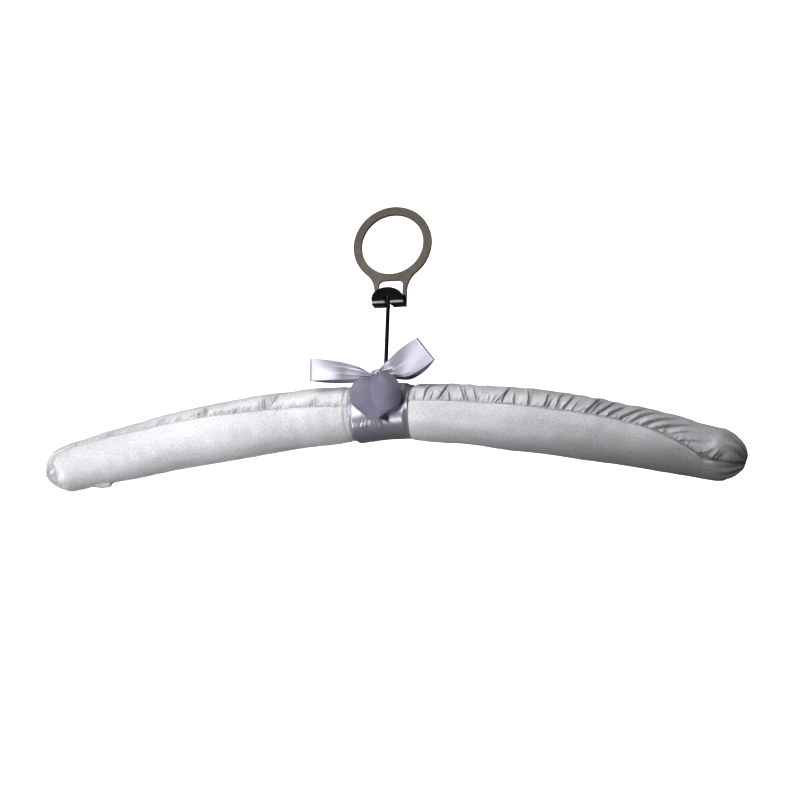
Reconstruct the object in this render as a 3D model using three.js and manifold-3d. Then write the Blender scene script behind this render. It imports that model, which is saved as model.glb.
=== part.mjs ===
// Padded satin clothes hanger with a closed security ring and a ball-top pin.
// Units are millimetres. The origin is the centre of the ring's hole, +X runs along the
// arms, -Y is the front and +Z is up.
import * as THREE from "three";
import { mergeVertices } from "three/addons/utils/BufferGeometryUtils.js";
import Module from "manifold-3d";

const wasm = await Module();
wasm.setup();

// ---- Driving dimensions ----

// Security ring, a flat plate standing in the XZ plane
const RING_INNER_RADIUS = 19.0;
const RING_OUTER_RADIUS = 24.2;
const PLATE_THICKNESS = 2.0;
const NECK_HALF_WIDTH = 10.0;
const SHOULDER_RADIUS = 15.0;
const PLATE_BOTTOM_Z = -40.0;
const WINDOW_HALF_WIDTH = 7.3;
const WINDOW_TOP_Z = -23.4;
const WINDOW_BOTTOM_Z = -33.0;
const WINDOW_CORNER = 3.0;

// Folded cradle in front of the plate's neck, with the pin's ball in its trough
const GAP = 0.3;
const CRADLE_SHEET = 1.0;
const TROUGH_RADIUS = 2.5;
const TROUGH_Z = -37.0;
const CRADLE_HALF_WIDTH = 9.5;
const CRADLE_BACK_TOP_Z = -33.6;
const LEAF_TOP_Z = -30.8;
const LEAF_SIDE_TOP_Z = -37.0;
const LEAF_LEAN = THREE.MathUtils.degToRad(15);
const SLOT_HALF_WIDTH = 1.7;
const LEAF_SLOT_CENTRE_Z = -37.1;
const PIN_Y = -(PLATE_THICKNESS / 2 + GAP + CRADLE_SHEET + TROUGH_RADIUS);

// Ball-top pin with the washer and nut that hold the core on it
const BALL_RADIUS = 2.3;
const PIN_RADIUS = 1.2;
const COLLAR_RADIUS = 1.45;
const COLLAR_TOP = 3.6;
const COLLAR_LENGTH = 1.6;
const WASHER_RADIUS = 3.1;
const WASHER_THICKNESS = 0.8;
const NUT_RADIUS = 2.9;
const NUT_THICKNESS = 2.4;
const RUNNING_GAP = 0.15;

// Arms: both droop and curve forward from the pin to the tips
const HALF_SPAN = 198.5;
const ARM_Z = -105.2;
const DROOP_SLOPE = 7.5;
const DROOP_CURVE = 31.5;
const FORWARD_CURVE = 22.5;
const ROOT_RADIUS = 16.0;
const RADIUS_SWELL = 12.0;
const RADIUS_TAPER = 14.5;
const TIP_START = 0.93;

// Wooden core inside the arms
const CORE_END = 0.92;
const CORE_HALF_HEIGHT = 10.0;
const CORE_HALF_DEPTH = 6.5;
const CORE_TAPER = 0.32;
const COUNTERBORE_RADIUS = 3.8;
const COUNTERBORE_DEPTH = 5.0;

// Padding and the satin cover
const PADDING_INSET = 1.7;
const PADDING_START = 0.025;
const COVER_THICKNESS = 1.0;
const SLEEVE_START = 0.085;
const PANEL_END = 0.965;
const PANEL_CROWDING = 1.5;
const BACK_SEAM_DEG = 55;
const LEFT_SEAM_ROOT_DEG = 92;
const LEFT_SEAM_CLIMB_DEG = 45;
const RIGHT_SEAM_ROOT_DEG = 80;
const RIGHT_SEAM_CLIMB_DEG = 9;
const RIGHT_SEAM_DROP_DEG = 42;
const RIGHT_SEAM_DROP_START = 0.6;
const RIGHT_SEAM_DROP_END = 0.91;

// Satin band round the middle, and the bow tied to the pin above it
const WRAP_HALF_WIDTH = 15.2;
const WRAP_RADIUS = 16.2;
const WRAP_THICKNESS = 0.7;
const WRAP_HOLE_RADIUS = 2.2;
const RIBBON_WIDTH = 16;
const RIBBON_THICKNESS = 0.8;
const KNOT = new THREE.Vector3(-1.2, -12.2, -86.4);
const KNOT_SIZE = new THREE.Vector3(5.6, 5.5, 3.8);
const LOOP_FOLD_RADIUS = 1.2;
const TIE_Z = -87.9;
const TIE_HEIGHT = 4.6;
const TIE_INNER_RADIUS = 1.6;
const TIE_OUTER_RADIUS = 2.9;

// Facets
const AROUND = 24;
const STATIONS = 12;
const TIP_STATIONS = 4;

const FINISH = {
  nickel: { color: 0x827b70, roughness: 0.35, metalness: 1.0 },
  black: { color: 0x0c0d10, roughness: 0.2, metalness: 0.9 },
  zinc: { color: 0xa9adb0, roughness: 0.4, metalness: 1.0 },
  wood: { color: 0xc9a578, roughness: 0.7, metalness: 0.0 },
  wadding: { color: 0xf2f0ec, roughness: 0.95, metalness: 0.0 },
  satin: { color: 0xc9c7cd, roughness: 0.45, metalness: 0.0 },
  ribbon: { color: 0xb5b2c4, roughness: 0.35, metalness: 0.0 },
};

// ---- Solids ----

function toSolid(geometry) {
  const bare = geometry.clone();
  bare.deleteAttribute("normal");
  bare.deleteAttribute("uv");
  const merged = mergeVertices(bare, 1e-4);
  return new wasm.Manifold(
    new wasm.Mesh({
      numProp: 3,
      vertProperties: merged.attributes.position.array,
      triVerts: new Uint32Array(merged.index.array),
    }),
  );
}

function toGeometry(solid) {
  const mesh = solid.getMesh();
  const geometry = new THREE.BufferGeometry();
  geometry.setAttribute(
    "position",
    new THREE.Float32BufferAttribute(mesh.vertProperties, mesh.numProp),
  );
  geometry.setIndex(new THREE.Uint32BufferAttribute(mesh.triVerts, 1));
  geometry.computeVertexNormals();
  return geometry;
}

// A closed surface from points and triangles, turned so that its faces point out.
function closedSurface(points, triangles) {
  const edge = new THREE.Vector3();
  let volume = 0;
  for (const [a, b, c] of triangles) {
    volume += points[a].dot(edge.crossVectors(points[b], points[c]));
  }
  const facing = volume < 0 ? triangles.map(([a, b, c]) => [a, c, b]) : triangles;
  const geometry = new THREE.BufferGeometry().setFromPoints(points);
  geometry.setIndex(facing.flat());
  return geometry;
}

// Round sections along a line, closed by a fan at each end.
function loft(sections) {
  const around = sections[0].length;
  const points = sections.flat();
  const triangles = [];
  for (let i = 0; i < sections.length - 1; i++) {
    for (let j = 0; j < around; j++) {
      const here = i * around + j;
      const beside = i * around + ((j + 1) % around);
      triangles.push([here, beside, beside + around], [here, beside + around, here + around]);
    }
  }
  for (const [first, turn] of [[0, -1], [(sections.length - 1) * around, 1]]) {
    const middle = new THREE.Vector3();
    for (let j = 0; j < around; j++) middle.addScaledVector(points[first + j], 1 / around);
    const centre = points.push(middle) - 1;
    for (let j = 0; j < around; j++) {
      const pair = [first + j, first + ((j + 1) % around)];
      triangles.push(turn > 0 ? [...pair, centre] : [pair[1], pair[0], centre]);
    }
  }
  return closedSurface(points, triangles);
}

// A sheet of even thickness over the surface pointAt(u, v), with u and v from 0 to 1.
function thickSheet(pointAt, along, across, thickness) {
  const step = 1e-3;
  const sides = [-thickness / 2, thickness / 2].map((offset) => {
    const side = [];
    for (let i = 0; i <= along; i++) {
      for (let j = 0; j <= across; j++) {
        const u = i / along;
        const v = j / across;
        const here = pointAt(u, v);
        const alongU = pointAt(u + step, v).sub(pointAt(u - step, v));
        const alongV = pointAt(u, v + step).sub(pointAt(u, v - step));
        side.push(here.addScaledVector(alongU.cross(alongV).normalize(), offset));
      }
    }
    return side;
  });
  const row = across + 1;
  const layer = row * (along + 1);
  const triangles = [];
  const quad = (a, b, c, d) => triangles.push([a, b, c], [a, c, d]);
  for (let i = 0; i < along; i++) {
    for (let j = 0; j < across; j++) {
      const a = i * row + j;
      quad(a, a + row, a + row + 1, a + 1);
      quad(layer + a, layer + a + 1, layer + a + row + 1, layer + a + row);
    }
  }
  for (let i = 0; i < along; i++) {
    for (const [j, flip] of [[0, false], [across, true]]) {
      const a = i * row + j;
      const b = a + row;
      if (flip) quad(a, b, b + layer, a + layer);
      else quad(b, a, a + layer, b + layer);
    }
  }
  for (let j = 0; j < across; j++) {
    for (const [i, flip] of [[0, true], [along, false]]) {
      const a = i * row + j;
      const b = a + 1;
      if (flip) quad(a, b, b + layer, a + layer);
      else quad(b, a, a + layer, b + layer);
    }
  }
  return closedSurface([...sides[0], ...sides[1]], triangles);
}

// An outline in the XZ plane, given depth from y = front to y = back.
function plate(shape, front, back, curveSegments = 24) {
  const geometry = new THREE.ExtrudeGeometry(shape, {
    depth: back - front,
    bevelEnabled: false,
    curveSegments,
  });
  return geometry.rotateX(Math.PI / 2).translate(0, back, 0);
}

function box(low, high) {
  const size = new THREE.Vector3().subVectors(high, low);
  const centre = new THREE.Vector3().addVectors(low, high).multiplyScalar(0.5);
  return new THREE.BoxGeometry(size.x, size.y, size.z).translate(centre.x, centre.y, centre.z);
}

// An upright cylinder on the pin's axis.
function pinCylinder(radius, bottom, top, segments = AROUND) {
  return new THREE.CylinderGeometry(radius, radius, top - bottom, segments)
    .rotateX(Math.PI / 2)
    .translate(0, PIN_Y, (top + bottom) / 2);
}

// ---- Security ring and cradle ----

function ringOutline() {
  const shoulderX = NECK_HALF_WIDTH + SHOULDER_RADIUS;
  const shoulderZ = -Math.sqrt((RING_OUTER_RADIUS + SHOULDER_RADIUS) ** 2 - shoulderX ** 2);
  const towards = Math.atan2(shoulderZ, shoulderX);
  const outline = new THREE.Shape();
  outline.moveTo(-NECK_HALF_WIDTH, PLATE_BOTTOM_Z);
  outline.lineTo(NECK_HALF_WIDTH, PLATE_BOTTOM_Z);
  outline.absarc(shoulderX, shoulderZ, SHOULDER_RADIUS, Math.PI, towards + Math.PI, true);
  outline.absarc(0, 0, RING_OUTER_RADIUS, towards, Math.PI - towards, false);
  outline.absarc(-shoulderX, shoulderZ, SHOULDER_RADIUS, -towards, 0, true);
  outline.closePath();
  outline.holes.push(new THREE.Path().absarc(0, 0, RING_INNER_RADIUS, 0, Math.PI * 2, true));
  outline.holes.push(windowOutline());
  return outline;
}

function windowOutline() {
  const path = new THREE.Path();
  const side = WINDOW_HALF_WIDTH;
  const corner = WINDOW_CORNER;
  path.moveTo(-side, WINDOW_BOTTOM_Z);
  path.lineTo(side, WINDOW_BOTTOM_Z);
  path.lineTo(side, WINDOW_TOP_Z - corner);
  path.absarc(side - corner, WINDOW_TOP_Z - corner, corner, 0, Math.PI / 2, false);
  path.lineTo(-side + corner, WINDOW_TOP_Z);
  path.absarc(-side + corner, WINDOW_TOP_Z - corner, corner, Math.PI / 2, Math.PI, false);
  path.closePath();
  return path;
}

// The slot that the pin swings back through, from the window to the plate's lower edge.
function rearSlot() {
  return toSolid(
    box(
      new THREE.Vector3(-SLOT_HALF_WIDTH, PIN_Y, PLATE_BOTTOM_Z - 2),
      new THREE.Vector3(SLOT_HALF_WIDTH, PLATE_THICKNESS, WINDOW_BOTTOM_Z + 1),
    ),
  );
}

function securityRing() {
  const half = PLATE_THICKNESS / 2;
  return toGeometry(toSolid(plate(ringOutline(), -half, half)).subtract(rearSlot()));
}

// The bent sheet seen from the side: back leg, round trough and a front leaf that leans out.
function cradleProfile() {
  const inner = TROUGH_RADIUS;
  const outer = TROUGH_RADIUS + CRADLE_SHEET;
  const rise = LEAF_TOP_Z - TROUGH_Z + 1;
  const leanEnd = Math.PI + LEAF_LEAN;
  const onArc = (radius, up) => [
    PIN_Y + radius * Math.cos(leanEnd) - up * Math.sin(LEAF_LEAN),
    TROUGH_Z + radius * Math.sin(leanEnd) + up * Math.cos(LEAF_LEAN),
  ];
  const profile = new THREE.Shape();
  profile.moveTo(PIN_Y + outer, CRADLE_BACK_TOP_Z);
  profile.lineTo(PIN_Y + inner, CRADLE_BACK_TOP_Z);
  profile.absarc(PIN_Y, TROUGH_Z, inner, 0, leanEnd, true);
  profile.lineTo(...onArc(inner, rise));
  profile.lineTo(...onArc(outer, rise));
  profile.absarc(PIN_Y, TROUGH_Z, outer, leanEnd, Math.PI * 2, false);
  profile.closePath();
  return profile;
}

function pinCradle() {
  const bent = new THREE.ExtrudeGeometry(cradleProfile(), {
    depth: 2 * CRADLE_HALF_WIDTH,
    bevelEnabled: false,
    curveSegments: 16,
  });
  bent.applyMatrix4(
    new THREE.Matrix4().makeBasis(
      new THREE.Vector3(0, 1, 0),
      new THREE.Vector3(0, 0, 1),
      new THREE.Vector3(1, 0, 0),
    ),
  );
  bent.translate(-CRADLE_HALF_WIDTH, 0, 0);
  const leafOutline = new THREE.Shape();
  const wide = CRADLE_HALF_WIDTH + 1;
  leafOutline.moveTo(-wide, PLATE_BOTTOM_Z - 3);
  leafOutline.lineTo(wide, PLATE_BOTTOM_Z - 3);
  leafOutline.lineTo(wide, LEAF_SIDE_TOP_Z);
  leafOutline.lineTo(CRADLE_HALF_WIDTH, LEAF_SIDE_TOP_Z);
  leafOutline.absellipse(
    0, LEAF_SIDE_TOP_Z, CRADLE_HALF_WIDTH, LEAF_TOP_Z - LEAF_SIDE_TOP_Z, 0, Math.PI, false,
  );
  leafOutline.lineTo(-wide, LEAF_SIDE_TOP_Z);
  leafOutline.closePath();
  const frontSlot = toSolid(
    box(
      new THREE.Vector3(-SLOT_HALF_WIDTH, PIN_Y - 8, PLATE_BOTTOM_Z - 2),
      new THREE.Vector3(SLOT_HALF_WIDTH, PIN_Y + 0.01, LEAF_SLOT_CENTRE_Z),
    ),
  ).add(
    toSolid(
      new THREE.CylinderGeometry(SLOT_HALF_WIDTH, SLOT_HALF_WIDTH, 8, 16)
        .translate(0, PIN_Y - 4, LEAF_SLOT_CENTRE_Z),
    ),
  );
  return toGeometry(
    toSolid(bent)
      .intersect(toSolid(plate(leafOutline, PIN_Y - 12, 0)))
      .subtract(frontSlot)
      .subtract(rearSlot()),
  );
}

// ---- Pin and its fasteners ----

const CORE_BOTTOM_Z = ARM_Z - CORE_HALF_HEIGHT;
const WASHER_TOP_Z = CORE_BOTTOM_Z + COUNTERBORE_DEPTH - GAP;
const NUT_TOP_Z = WASHER_TOP_Z - WASHER_THICKNESS - GAP;
const PIN_END_Z = NUT_TOP_Z - NUT_THICKNESS - 0.4;

function ballPin() {
  const meet = Math.asin(PIN_RADIUS / BALL_RADIUS);
  const profile = [new THREE.Vector2(0, PIN_END_Z), new THREE.Vector2(PIN_RADIUS, PIN_END_Z)];
  profile.push(new THREE.Vector2(PIN_RADIUS, TROUGH_Z - COLLAR_TOP - COLLAR_LENGTH));
  profile.push(new THREE.Vector2(COLLAR_RADIUS, TROUGH_Z - COLLAR_TOP - COLLAR_LENGTH * 0.8));
  profile.push(new THREE.Vector2(COLLAR_RADIUS, TROUGH_Z - COLLAR_TOP - COLLAR_LENGTH * 0.2));
  profile.push(new THREE.Vector2(PIN_RADIUS, TROUGH_Z - COLLAR_TOP));
  const steps = 8;
  for (let i = 0; i <= steps; i++) {
    const angle = meet + ((Math.PI - meet) * i) / steps;
    const radius = i === steps ? 0 : BALL_RADIUS * Math.sin(angle);
    profile.push(new THREE.Vector2(radius, TROUGH_Z - BALL_RADIUS * Math.cos(angle)));
  }
  const turned = new THREE.LatheGeometry(profile, 16).rotateX(Math.PI / 2).translate(0, PIN_Y, 0);
  return turned;
}

function pinWasher() {
  const low = WASHER_TOP_Z - WASHER_THICKNESS;
  const disc = toSolid(pinCylinder(WASHER_RADIUS, low, WASHER_TOP_Z));
  return toGeometry(disc.subtract(toSolid(pinCylinder(PIN_RADIUS + GAP, low - 1, WASHER_TOP_Z + 1))));
}

function pinNut() {
  const low = NUT_TOP_Z - NUT_THICKNESS;
  const hexagon = toSolid(pinCylinder(NUT_RADIUS, low, NUT_TOP_Z, 6));
  return toGeometry(
    hexagon.subtract(toSolid(pinCylinder(PIN_RADIUS + RUNNING_GAP, low - 1, NUT_TOP_Z + 1, 16))),
  );
}

// ---- Arms ----

function armCentre(side, t) {
  return new THREE.Vector3(
    side * HALF_SPAN * t,
    PIN_Y - FORWARD_CURVE * t * t,
    ARM_Z - DROOP_SLOPE * Math.abs(t) - DROOP_CURVE * t * t,
  );
}

// The arm's centre at t with the upward and forward directions across it.
function armFrame(side, t) {
  const tangent = new THREE.Vector3(
    side * HALF_SPAN,
    -2 * FORWARD_CURVE * t,
    -DROOP_SLOPE - 2 * DROOP_CURVE * t,
  ).normalize();
  const up = new THREE.Vector3(0, 0, 1).addScaledVector(tangent, -tangent.z).normalize();
  const front = new THREE.Vector3().crossVectors(tangent, up).multiplyScalar(side);
  return { centre: armCentre(side, t), up, front };
}

// The cover's outer radius at t, moved by an offset, with the arm's round tip.
function armRadius(t, offset) {
  const end = 1 + offset / HALF_SPAN;
  const body = ROOT_RADIUS + RADIUS_SWELL * t - RADIUS_TAPER * t * t + offset;
  const into = Math.max(0, (t - TIP_START) / (end - TIP_START));
  return body * Math.sqrt(Math.max(0, 1 - into * into));
}

// A point on the arm's surface. The angle is 0 at the crest, and positive towards the front.
function armPoint(side, t, angle, offset) {
  const { centre, up, front } = armFrame(side, t);
  const radius = armRadius(t, offset);
  return centre
    .addScaledVector(up, radius * Math.cos(angle))
    .addScaledVector(front, radius * Math.sin(angle));
}

function armLoft(side, offset, start) {
  const end = 1 + offset / HALF_SPAN;
  const stations = [];
  for (let i = 0; i <= STATIONS; i++) {
    stations.push(start + ((TIP_START - start) * i) / STATIONS);
  }
  for (let i = 1; i <= TIP_STATIONS; i++) {
    const turn = (i / (TIP_STATIONS + 0.25)) * (Math.PI / 2);
    stations.push(TIP_START + (end - TIP_START) * Math.sin(turn));
  }
  const sections = stations.map((t) =>
    Array.from({ length: AROUND }, (_, j) =>
      armPoint(side, t, ((j + 0.5) / AROUND) * 2 * Math.PI, offset),
    ),
  );
  return loft(sections);
}

// The core's rounded section, made larger all round by grow.
function coreSection(t, grow, corners = 12) {
  const side = t < 0 ? -1 : 1;
  const { centre, up, front } = armFrame(side, Math.abs(t));
  const scale = 1 - CORE_TAPER * Math.abs(t);
  const height = CORE_HALF_HEIGHT * scale + grow;
  const depth = CORE_HALF_DEPTH * scale + grow;
  const squareness = 0.6;
  return Array.from({ length: corners }, (_, j) => {
    const angle = ((j + 0.5) / corners) * 2 * Math.PI;
    const across = Math.sign(Math.sin(angle)) * Math.abs(Math.sin(angle)) ** squareness;
    const upward = Math.sign(Math.cos(angle)) * Math.abs(Math.cos(angle)) ** squareness;
    return centre
      .clone()
      .addScaledVector(up, height * upward)
      .addScaledVector(front, depth * across);
  });
}

function coreLoft(grow) {
  const reach = CORE_END + grow / HALF_SPAN;
  const half = 9;
  const sections = [];
  for (let i = -half; i <= half; i++) sections.push(coreSection((reach * i) / half, grow));
  return loft(sections);
}

function woodCore() {
  const bore = pinCylinder(PIN_RADIUS + RUNNING_GAP, CORE_BOTTOM_Z - 2, ARM_Z + 12, 16);
  const pocket = pinCylinder(
    COUNTERBORE_RADIUS,
    CORE_BOTTOM_Z - 2,
    CORE_BOTTOM_Z + COUNTERBORE_DEPTH,
  );
  return toGeometry(toSolid(coreLoft(0)).subtract(toSolid(bore)).subtract(toSolid(pocket)));
}

function padding(side) {
  return toGeometry(
    toSolid(armLoft(side, -PADDING_INSET, PADDING_START)).subtract(toSolid(coreLoft(GAP))),
  );
}

// ---- Satin cover ----

// The top seam's angle from the crest at t. The left front seam climbs steadily towards the
// tip, and the right one runs level and then drops to the middle of the tip.
function seamDegrees(side, face, t) {
  if (face < 0) return BACK_SEAM_DEG;
  if (side < 0) return LEFT_SEAM_ROOT_DEG - LEFT_SEAM_CLIMB_DEG * t;
  const dropSpan = RIGHT_SEAM_DROP_END - RIGHT_SEAM_DROP_START;
  const drop = THREE.MathUtils.clamp((t - RIGHT_SEAM_DROP_START) / dropSpan, 0, 1) ** 3;
  return RIGHT_SEAM_ROOT_DEG - RIGHT_SEAM_CLIMB_DEG * t + RIGHT_SEAM_DROP_DEG * drop;
}

// A panel from a top seam down to the seam under the arm. It is the front one with face 1,
// and the back one with face -1. Grow makes it larger all round, as a cutter.
function panel(side, face, grow = 0) {
  const start = SLEEVE_START - grow / HALF_SPAN;
  const end = PANEL_END + grow / HALF_SPAN;
  const roundEnd = 0.02;
  const pointAt = (u, v) => {
    const bow = roundEnd * (2 * v - 1) ** 2;
    const t = start + (end - bow - start) * (1 - Math.max(0, 1 - u) ** PANEL_CROWDING);
    const seam = THREE.MathUtils.degToRad(seamDegrees(side, face, t)) - grow / ROOT_RADIUS;
    const under = Math.PI + (grow > 0 ? 0.1 : -0.5 * (GAP / ROOT_RADIUS));
    return armPoint(side, t, face * (seam + (under - seam) * v), -COVER_THICKNESS / 2);
  };
  return thickSheet(pointAt, 14, 7, COVER_THICKNESS + (grow > 0 ? 3 : 0));
}

// The gathered strip over the top of the arm, which also wraps round the tip.
function ruchedStrip(side) {
  const shell = toSolid(armLoft(side, 0, SLEEVE_START)).subtract(
    toSolid(armLoft(side, -COVER_THICKNESS, SLEEVE_START - 0.02)),
  );
  return toGeometry(
    shell.subtract(toSolid(panel(side, 1, GAP))).subtract(toSolid(panel(side, -1, GAP))),
  );
}

function wrapTube(radius, halfWidth) {
  const steps = 4;
  const sections = [];
  for (let i = -steps; i <= steps; i++) {
    const x = (halfWidth * i) / steps;
    const centre = armCentre(Math.sign(x) || 1, Math.abs(x) / HALF_SPAN);
    sections.push(
      Array.from({ length: AROUND }, (_, j) => {
        const angle = ((j + 0.5) / AROUND) * 2 * Math.PI;
        return new THREE.Vector3(
          centre.x,
          centre.y - radius * Math.sin(angle),
          centre.z + radius * Math.cos(angle),
        );
      }),
    );
  }
  return toSolid(loft(sections));
}

function ribbonWrap() {
  const hole = pinCylinder(WRAP_HOLE_RADIUS, ARM_Z, ARM_Z + 2 * WRAP_RADIUS);
  return toGeometry(
    wrapTube(WRAP_RADIUS, WRAP_HALF_WIDTH)
      .subtract(wrapTube(WRAP_RADIUS - WRAP_THICKNESS, WRAP_HALF_WIDTH + 1))
      .subtract(toSolid(hole)),
  );
}

// ---- Bow ----

function bowKnot() {
  const ball = new THREE.SphereGeometry(1, 16, 12)
    .scale(KNOT_SIZE.x, KNOT_SIZE.y, KNOT_SIZE.z)
    .translate(KNOT.x, KNOT.y, KNOT.z);
  const tie = toSolid(pinCylinder(TIE_OUTER_RADIUS, TIE_Z, TIE_Z + TIE_HEIGHT));
  const pinHole = toSolid(pinCylinder(TIE_INNER_RADIUS, TIE_Z - 6, TIE_Z + TIE_HEIGHT + 6));
  return toGeometry(toSolid(ball).add(tie).subtract(pinHole));
}

// A ribbon loop from the knot to a flat fold at reach along a slanting axis and back behind.
function bowLoop({ side, root, reach, slant, rootWidth, endWidth }) {
  const axis = new THREE.Vector3(side * Math.cos(slant), 0, Math.sin(slant));
  const across = new THREE.Vector3(-side * Math.sin(slant), 0, Math.cos(slant));
  const pointAt = (u, v) => {
    const turn = (u - 0.5) * 2;
    const out = reach * (1 - Math.abs(turn) ** 3);
    const depth = Math.sign(turn) * LOOP_FOLD_RADIUS * Math.min(1, 6 * Math.abs(turn));
    const width = rootWidth + (endWidth - rootWidth) * Math.min(1, (1.6 * out) / reach);
    return new THREE.Vector3(...root)
      .addScaledVector(axis, out)
      .addScaledVector(across, width * (v - 0.5))
      .add(new THREE.Vector3(0, depth, 0));
  };
  return thickSheet(pointAt, 28, 2, RIBBON_THICKNESS);
}

// A ribbon tail that hangs from the knot over the front of the wrap.
function bowTail({ route, widths, lean }) {
  const curve = new THREE.CatmullRomCurve3(route.map((point) => new THREE.Vector3(...point)));
  const pointAt = (u, v) => {
    const at = curve.getPoint(THREE.MathUtils.clamp(u, 0, 1));
    const beyond = u < 0 || u > 1 ? curve.getTangent(THREE.MathUtils.clamp(u, 0, 1)) : null;
    if (beyond) at.addScaledVector(beyond, (u < 0 ? u : u - 1) * curve.getLength());
    const [root, middle, end] = widths;
    const swell = Math.sin(Math.PI * THREE.MathUtils.clamp(u, 0, 1)) ** 0.7;
    const width = THREE.MathUtils.lerp(THREE.MathUtils.lerp(root, end, u), middle, swell);
    const tangent = curve.getTangent(THREE.MathUtils.clamp(u, 0, 1));
    const sideways = new THREE.Vector3(-tangent.z, lean, tangent.x).normalize();
    const crown = 1.6 * (1 - (2 * v - 1) ** 2);
    return at.addScaledVector(sideways, width * (v - 0.5)).add(new THREE.Vector3(0, -crown, 0));
  };
  return thickSheet(pointAt, 12, 4, RIBBON_THICKNESS);
}

const LEFT_LOOP = {
  side: -1,
  root: [-7.6, -16.9, -86.0],
  reach: 33.5,
  slant: THREE.MathUtils.degToRad(5),
  rootWidth: 7,
  endWidth: 14.5,
};
const RIGHT_LOOP = {
  side: 1,
  root: [4.6, -16.9, -86.4],
  reach: 26.0,
  slant: THREE.MathUtils.degToRad(35),
  rootWidth: 8,
  endWidth: RIBBON_WIDTH,
};
const LEFT_TAIL = {
  route: [[-4, -20.6, -89.5], [-8, -23.4, -98], [-4.5, -23.9, -108], [3.5, -22.6, -116.5]],
  widths: [8, RIBBON_WIDTH, 9],
  lean: 0,
};
const RIGHT_TAIL = {
  route: [[2.5, -22.6, -88], [7, -26.2, -95.5], [8, -27.4, -103.5], [5, -26.8, -112]],
  widths: [8, RIBBON_WIDTH, 10],
  lean: 0,
};

// ---- Assembly ----

const hanger = new THREE.Group();

function addPart(name, geometry, finish) {
  const mesh = new THREE.Mesh(geometry, new THREE.MeshStandardMaterial(FINISH[finish]));
  mesh.name = name;
  hanger.add(mesh);
}

addPart("security_ring", securityRing(), "nickel");
addPart("pin_cradle", pinCradle(), "black");
addPart("ball_pin", ballPin(), "black");
addPart("pin_washer", pinWasher(), "zinc");
addPart("pin_nut", pinNut(), "zinc");
addPart("wood_core", woodCore(), "wood");
for (const [word, side] of [["left", -1], ["right", 1]]) {
  addPart(`${word}_padding`, padding(side), "wadding");
  addPart(`${word}_front_panel`, panel(side, 1), "satin");
  addPart(`${word}_back_panel`, panel(side, -1), "satin");
  addPart(`${word}_ruched_strip`, ruchedStrip(side), "satin");
}
addPart("ribbon_wrap", ribbonWrap(), "ribbon");
addPart("bow_knot", bowKnot(), "ribbon");
addPart("bow_left_loop", bowLoop(LEFT_LOOP), "ribbon");
addPart("bow_right_loop", bowLoop(RIGHT_LOOP), "ribbon");
addPart("bow_left_tail", bowTail(LEFT_TAIL), "ribbon");
addPart("bow_right_tail", bowTail(RIGHT_TAIL), "ribbon");

export default hanger;
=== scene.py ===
"""Padded satin clothes hanger with a security ring: the looks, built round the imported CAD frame.

Shapes are worked out in millimetres in the row frame and turned into metres when a mesh is made.
+X runs along the arms, -Y is the front and +Z is up.
"""

import math

import bmesh
import bpy
import numpy as np
from mathutils import Matrix, Vector


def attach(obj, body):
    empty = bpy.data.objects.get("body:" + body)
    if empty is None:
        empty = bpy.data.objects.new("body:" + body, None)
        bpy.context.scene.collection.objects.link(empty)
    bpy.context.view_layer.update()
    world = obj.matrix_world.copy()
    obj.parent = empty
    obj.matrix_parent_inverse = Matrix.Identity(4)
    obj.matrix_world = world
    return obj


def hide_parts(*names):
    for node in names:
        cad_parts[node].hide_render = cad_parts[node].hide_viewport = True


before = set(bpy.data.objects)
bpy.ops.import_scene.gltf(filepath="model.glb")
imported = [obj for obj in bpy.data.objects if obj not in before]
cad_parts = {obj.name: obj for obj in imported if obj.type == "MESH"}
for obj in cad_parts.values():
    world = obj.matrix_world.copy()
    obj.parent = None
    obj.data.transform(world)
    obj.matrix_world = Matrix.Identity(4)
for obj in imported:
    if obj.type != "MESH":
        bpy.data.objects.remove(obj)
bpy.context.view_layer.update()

MM = 0.001

SIDE_WORD = {-1: "left", 1: "right"}

# ---- Dimensions in millimetres ----
#
# The metal, the arms and the seams are the CAD's, apart from the slot in the cradle's leaf, which
# is 0.5 mm lower. Cloth and ribbon are thinner than the CAD's solids, and the ribbon round the
# middle is wider, because its edges are tucked under the sleeves.

# Security ring
RING_INNER_RADIUS = 19.0
RING_OUTER_RADIUS = 24.2
PLATE_THICKNESS = 2.0
NECK_HALF_WIDTH = 10.0
SHOULDER_RADIUS = 15.0
PLATE_BOTTOM_Z = -40.0
WINDOW_HALF_WIDTH = 7.3
WINDOW_TOP_Z = -23.4
WINDOW_BOTTOM_Z = -33.0
WINDOW_CORNER = 3.0
SLOT_HALF_WIDTH = 1.7

# Cradle, whose trough is measured to the middle of the sheet
CRADLE_SHEET = 1.0
TROUGH_RADIUS = 3.0
TROUGH_Z = -37.0
CRADLE_HALF_WIDTH = 9.5
CRADLE_BACK_TOP_Z = -33.6
LEAF_TOP_Z = -30.8
LEAF_SIDE_TOP_Z = -37.0
LEAF_LEAN = math.radians(15)
LEAF_ARC_END = math.radians(86)
LEAF_SLOT_CENTRE_Z = -37.6
# Painted highlight lines along the front of the leaf's bend, standing in for the light it reflects
BEND_HIGHLIGHT_Z = -38.9
BEND_HIGHLIGHT_WIDTH = 0.36
LOWER_HIGHLIGHT_Z = -40.4
LOWER_HIGHLIGHT_WIDTH = 0.12
PIN_Y = -4.8

# Pin
BALL_RADIUS = 2.3
PIN_RADIUS = 1.2
COLLAR_RADIUS = 1.45
COLLAR_TOP = 3.6
COLLAR_LENGTH = 1.6
PIN_END_Z = -114.0

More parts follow.
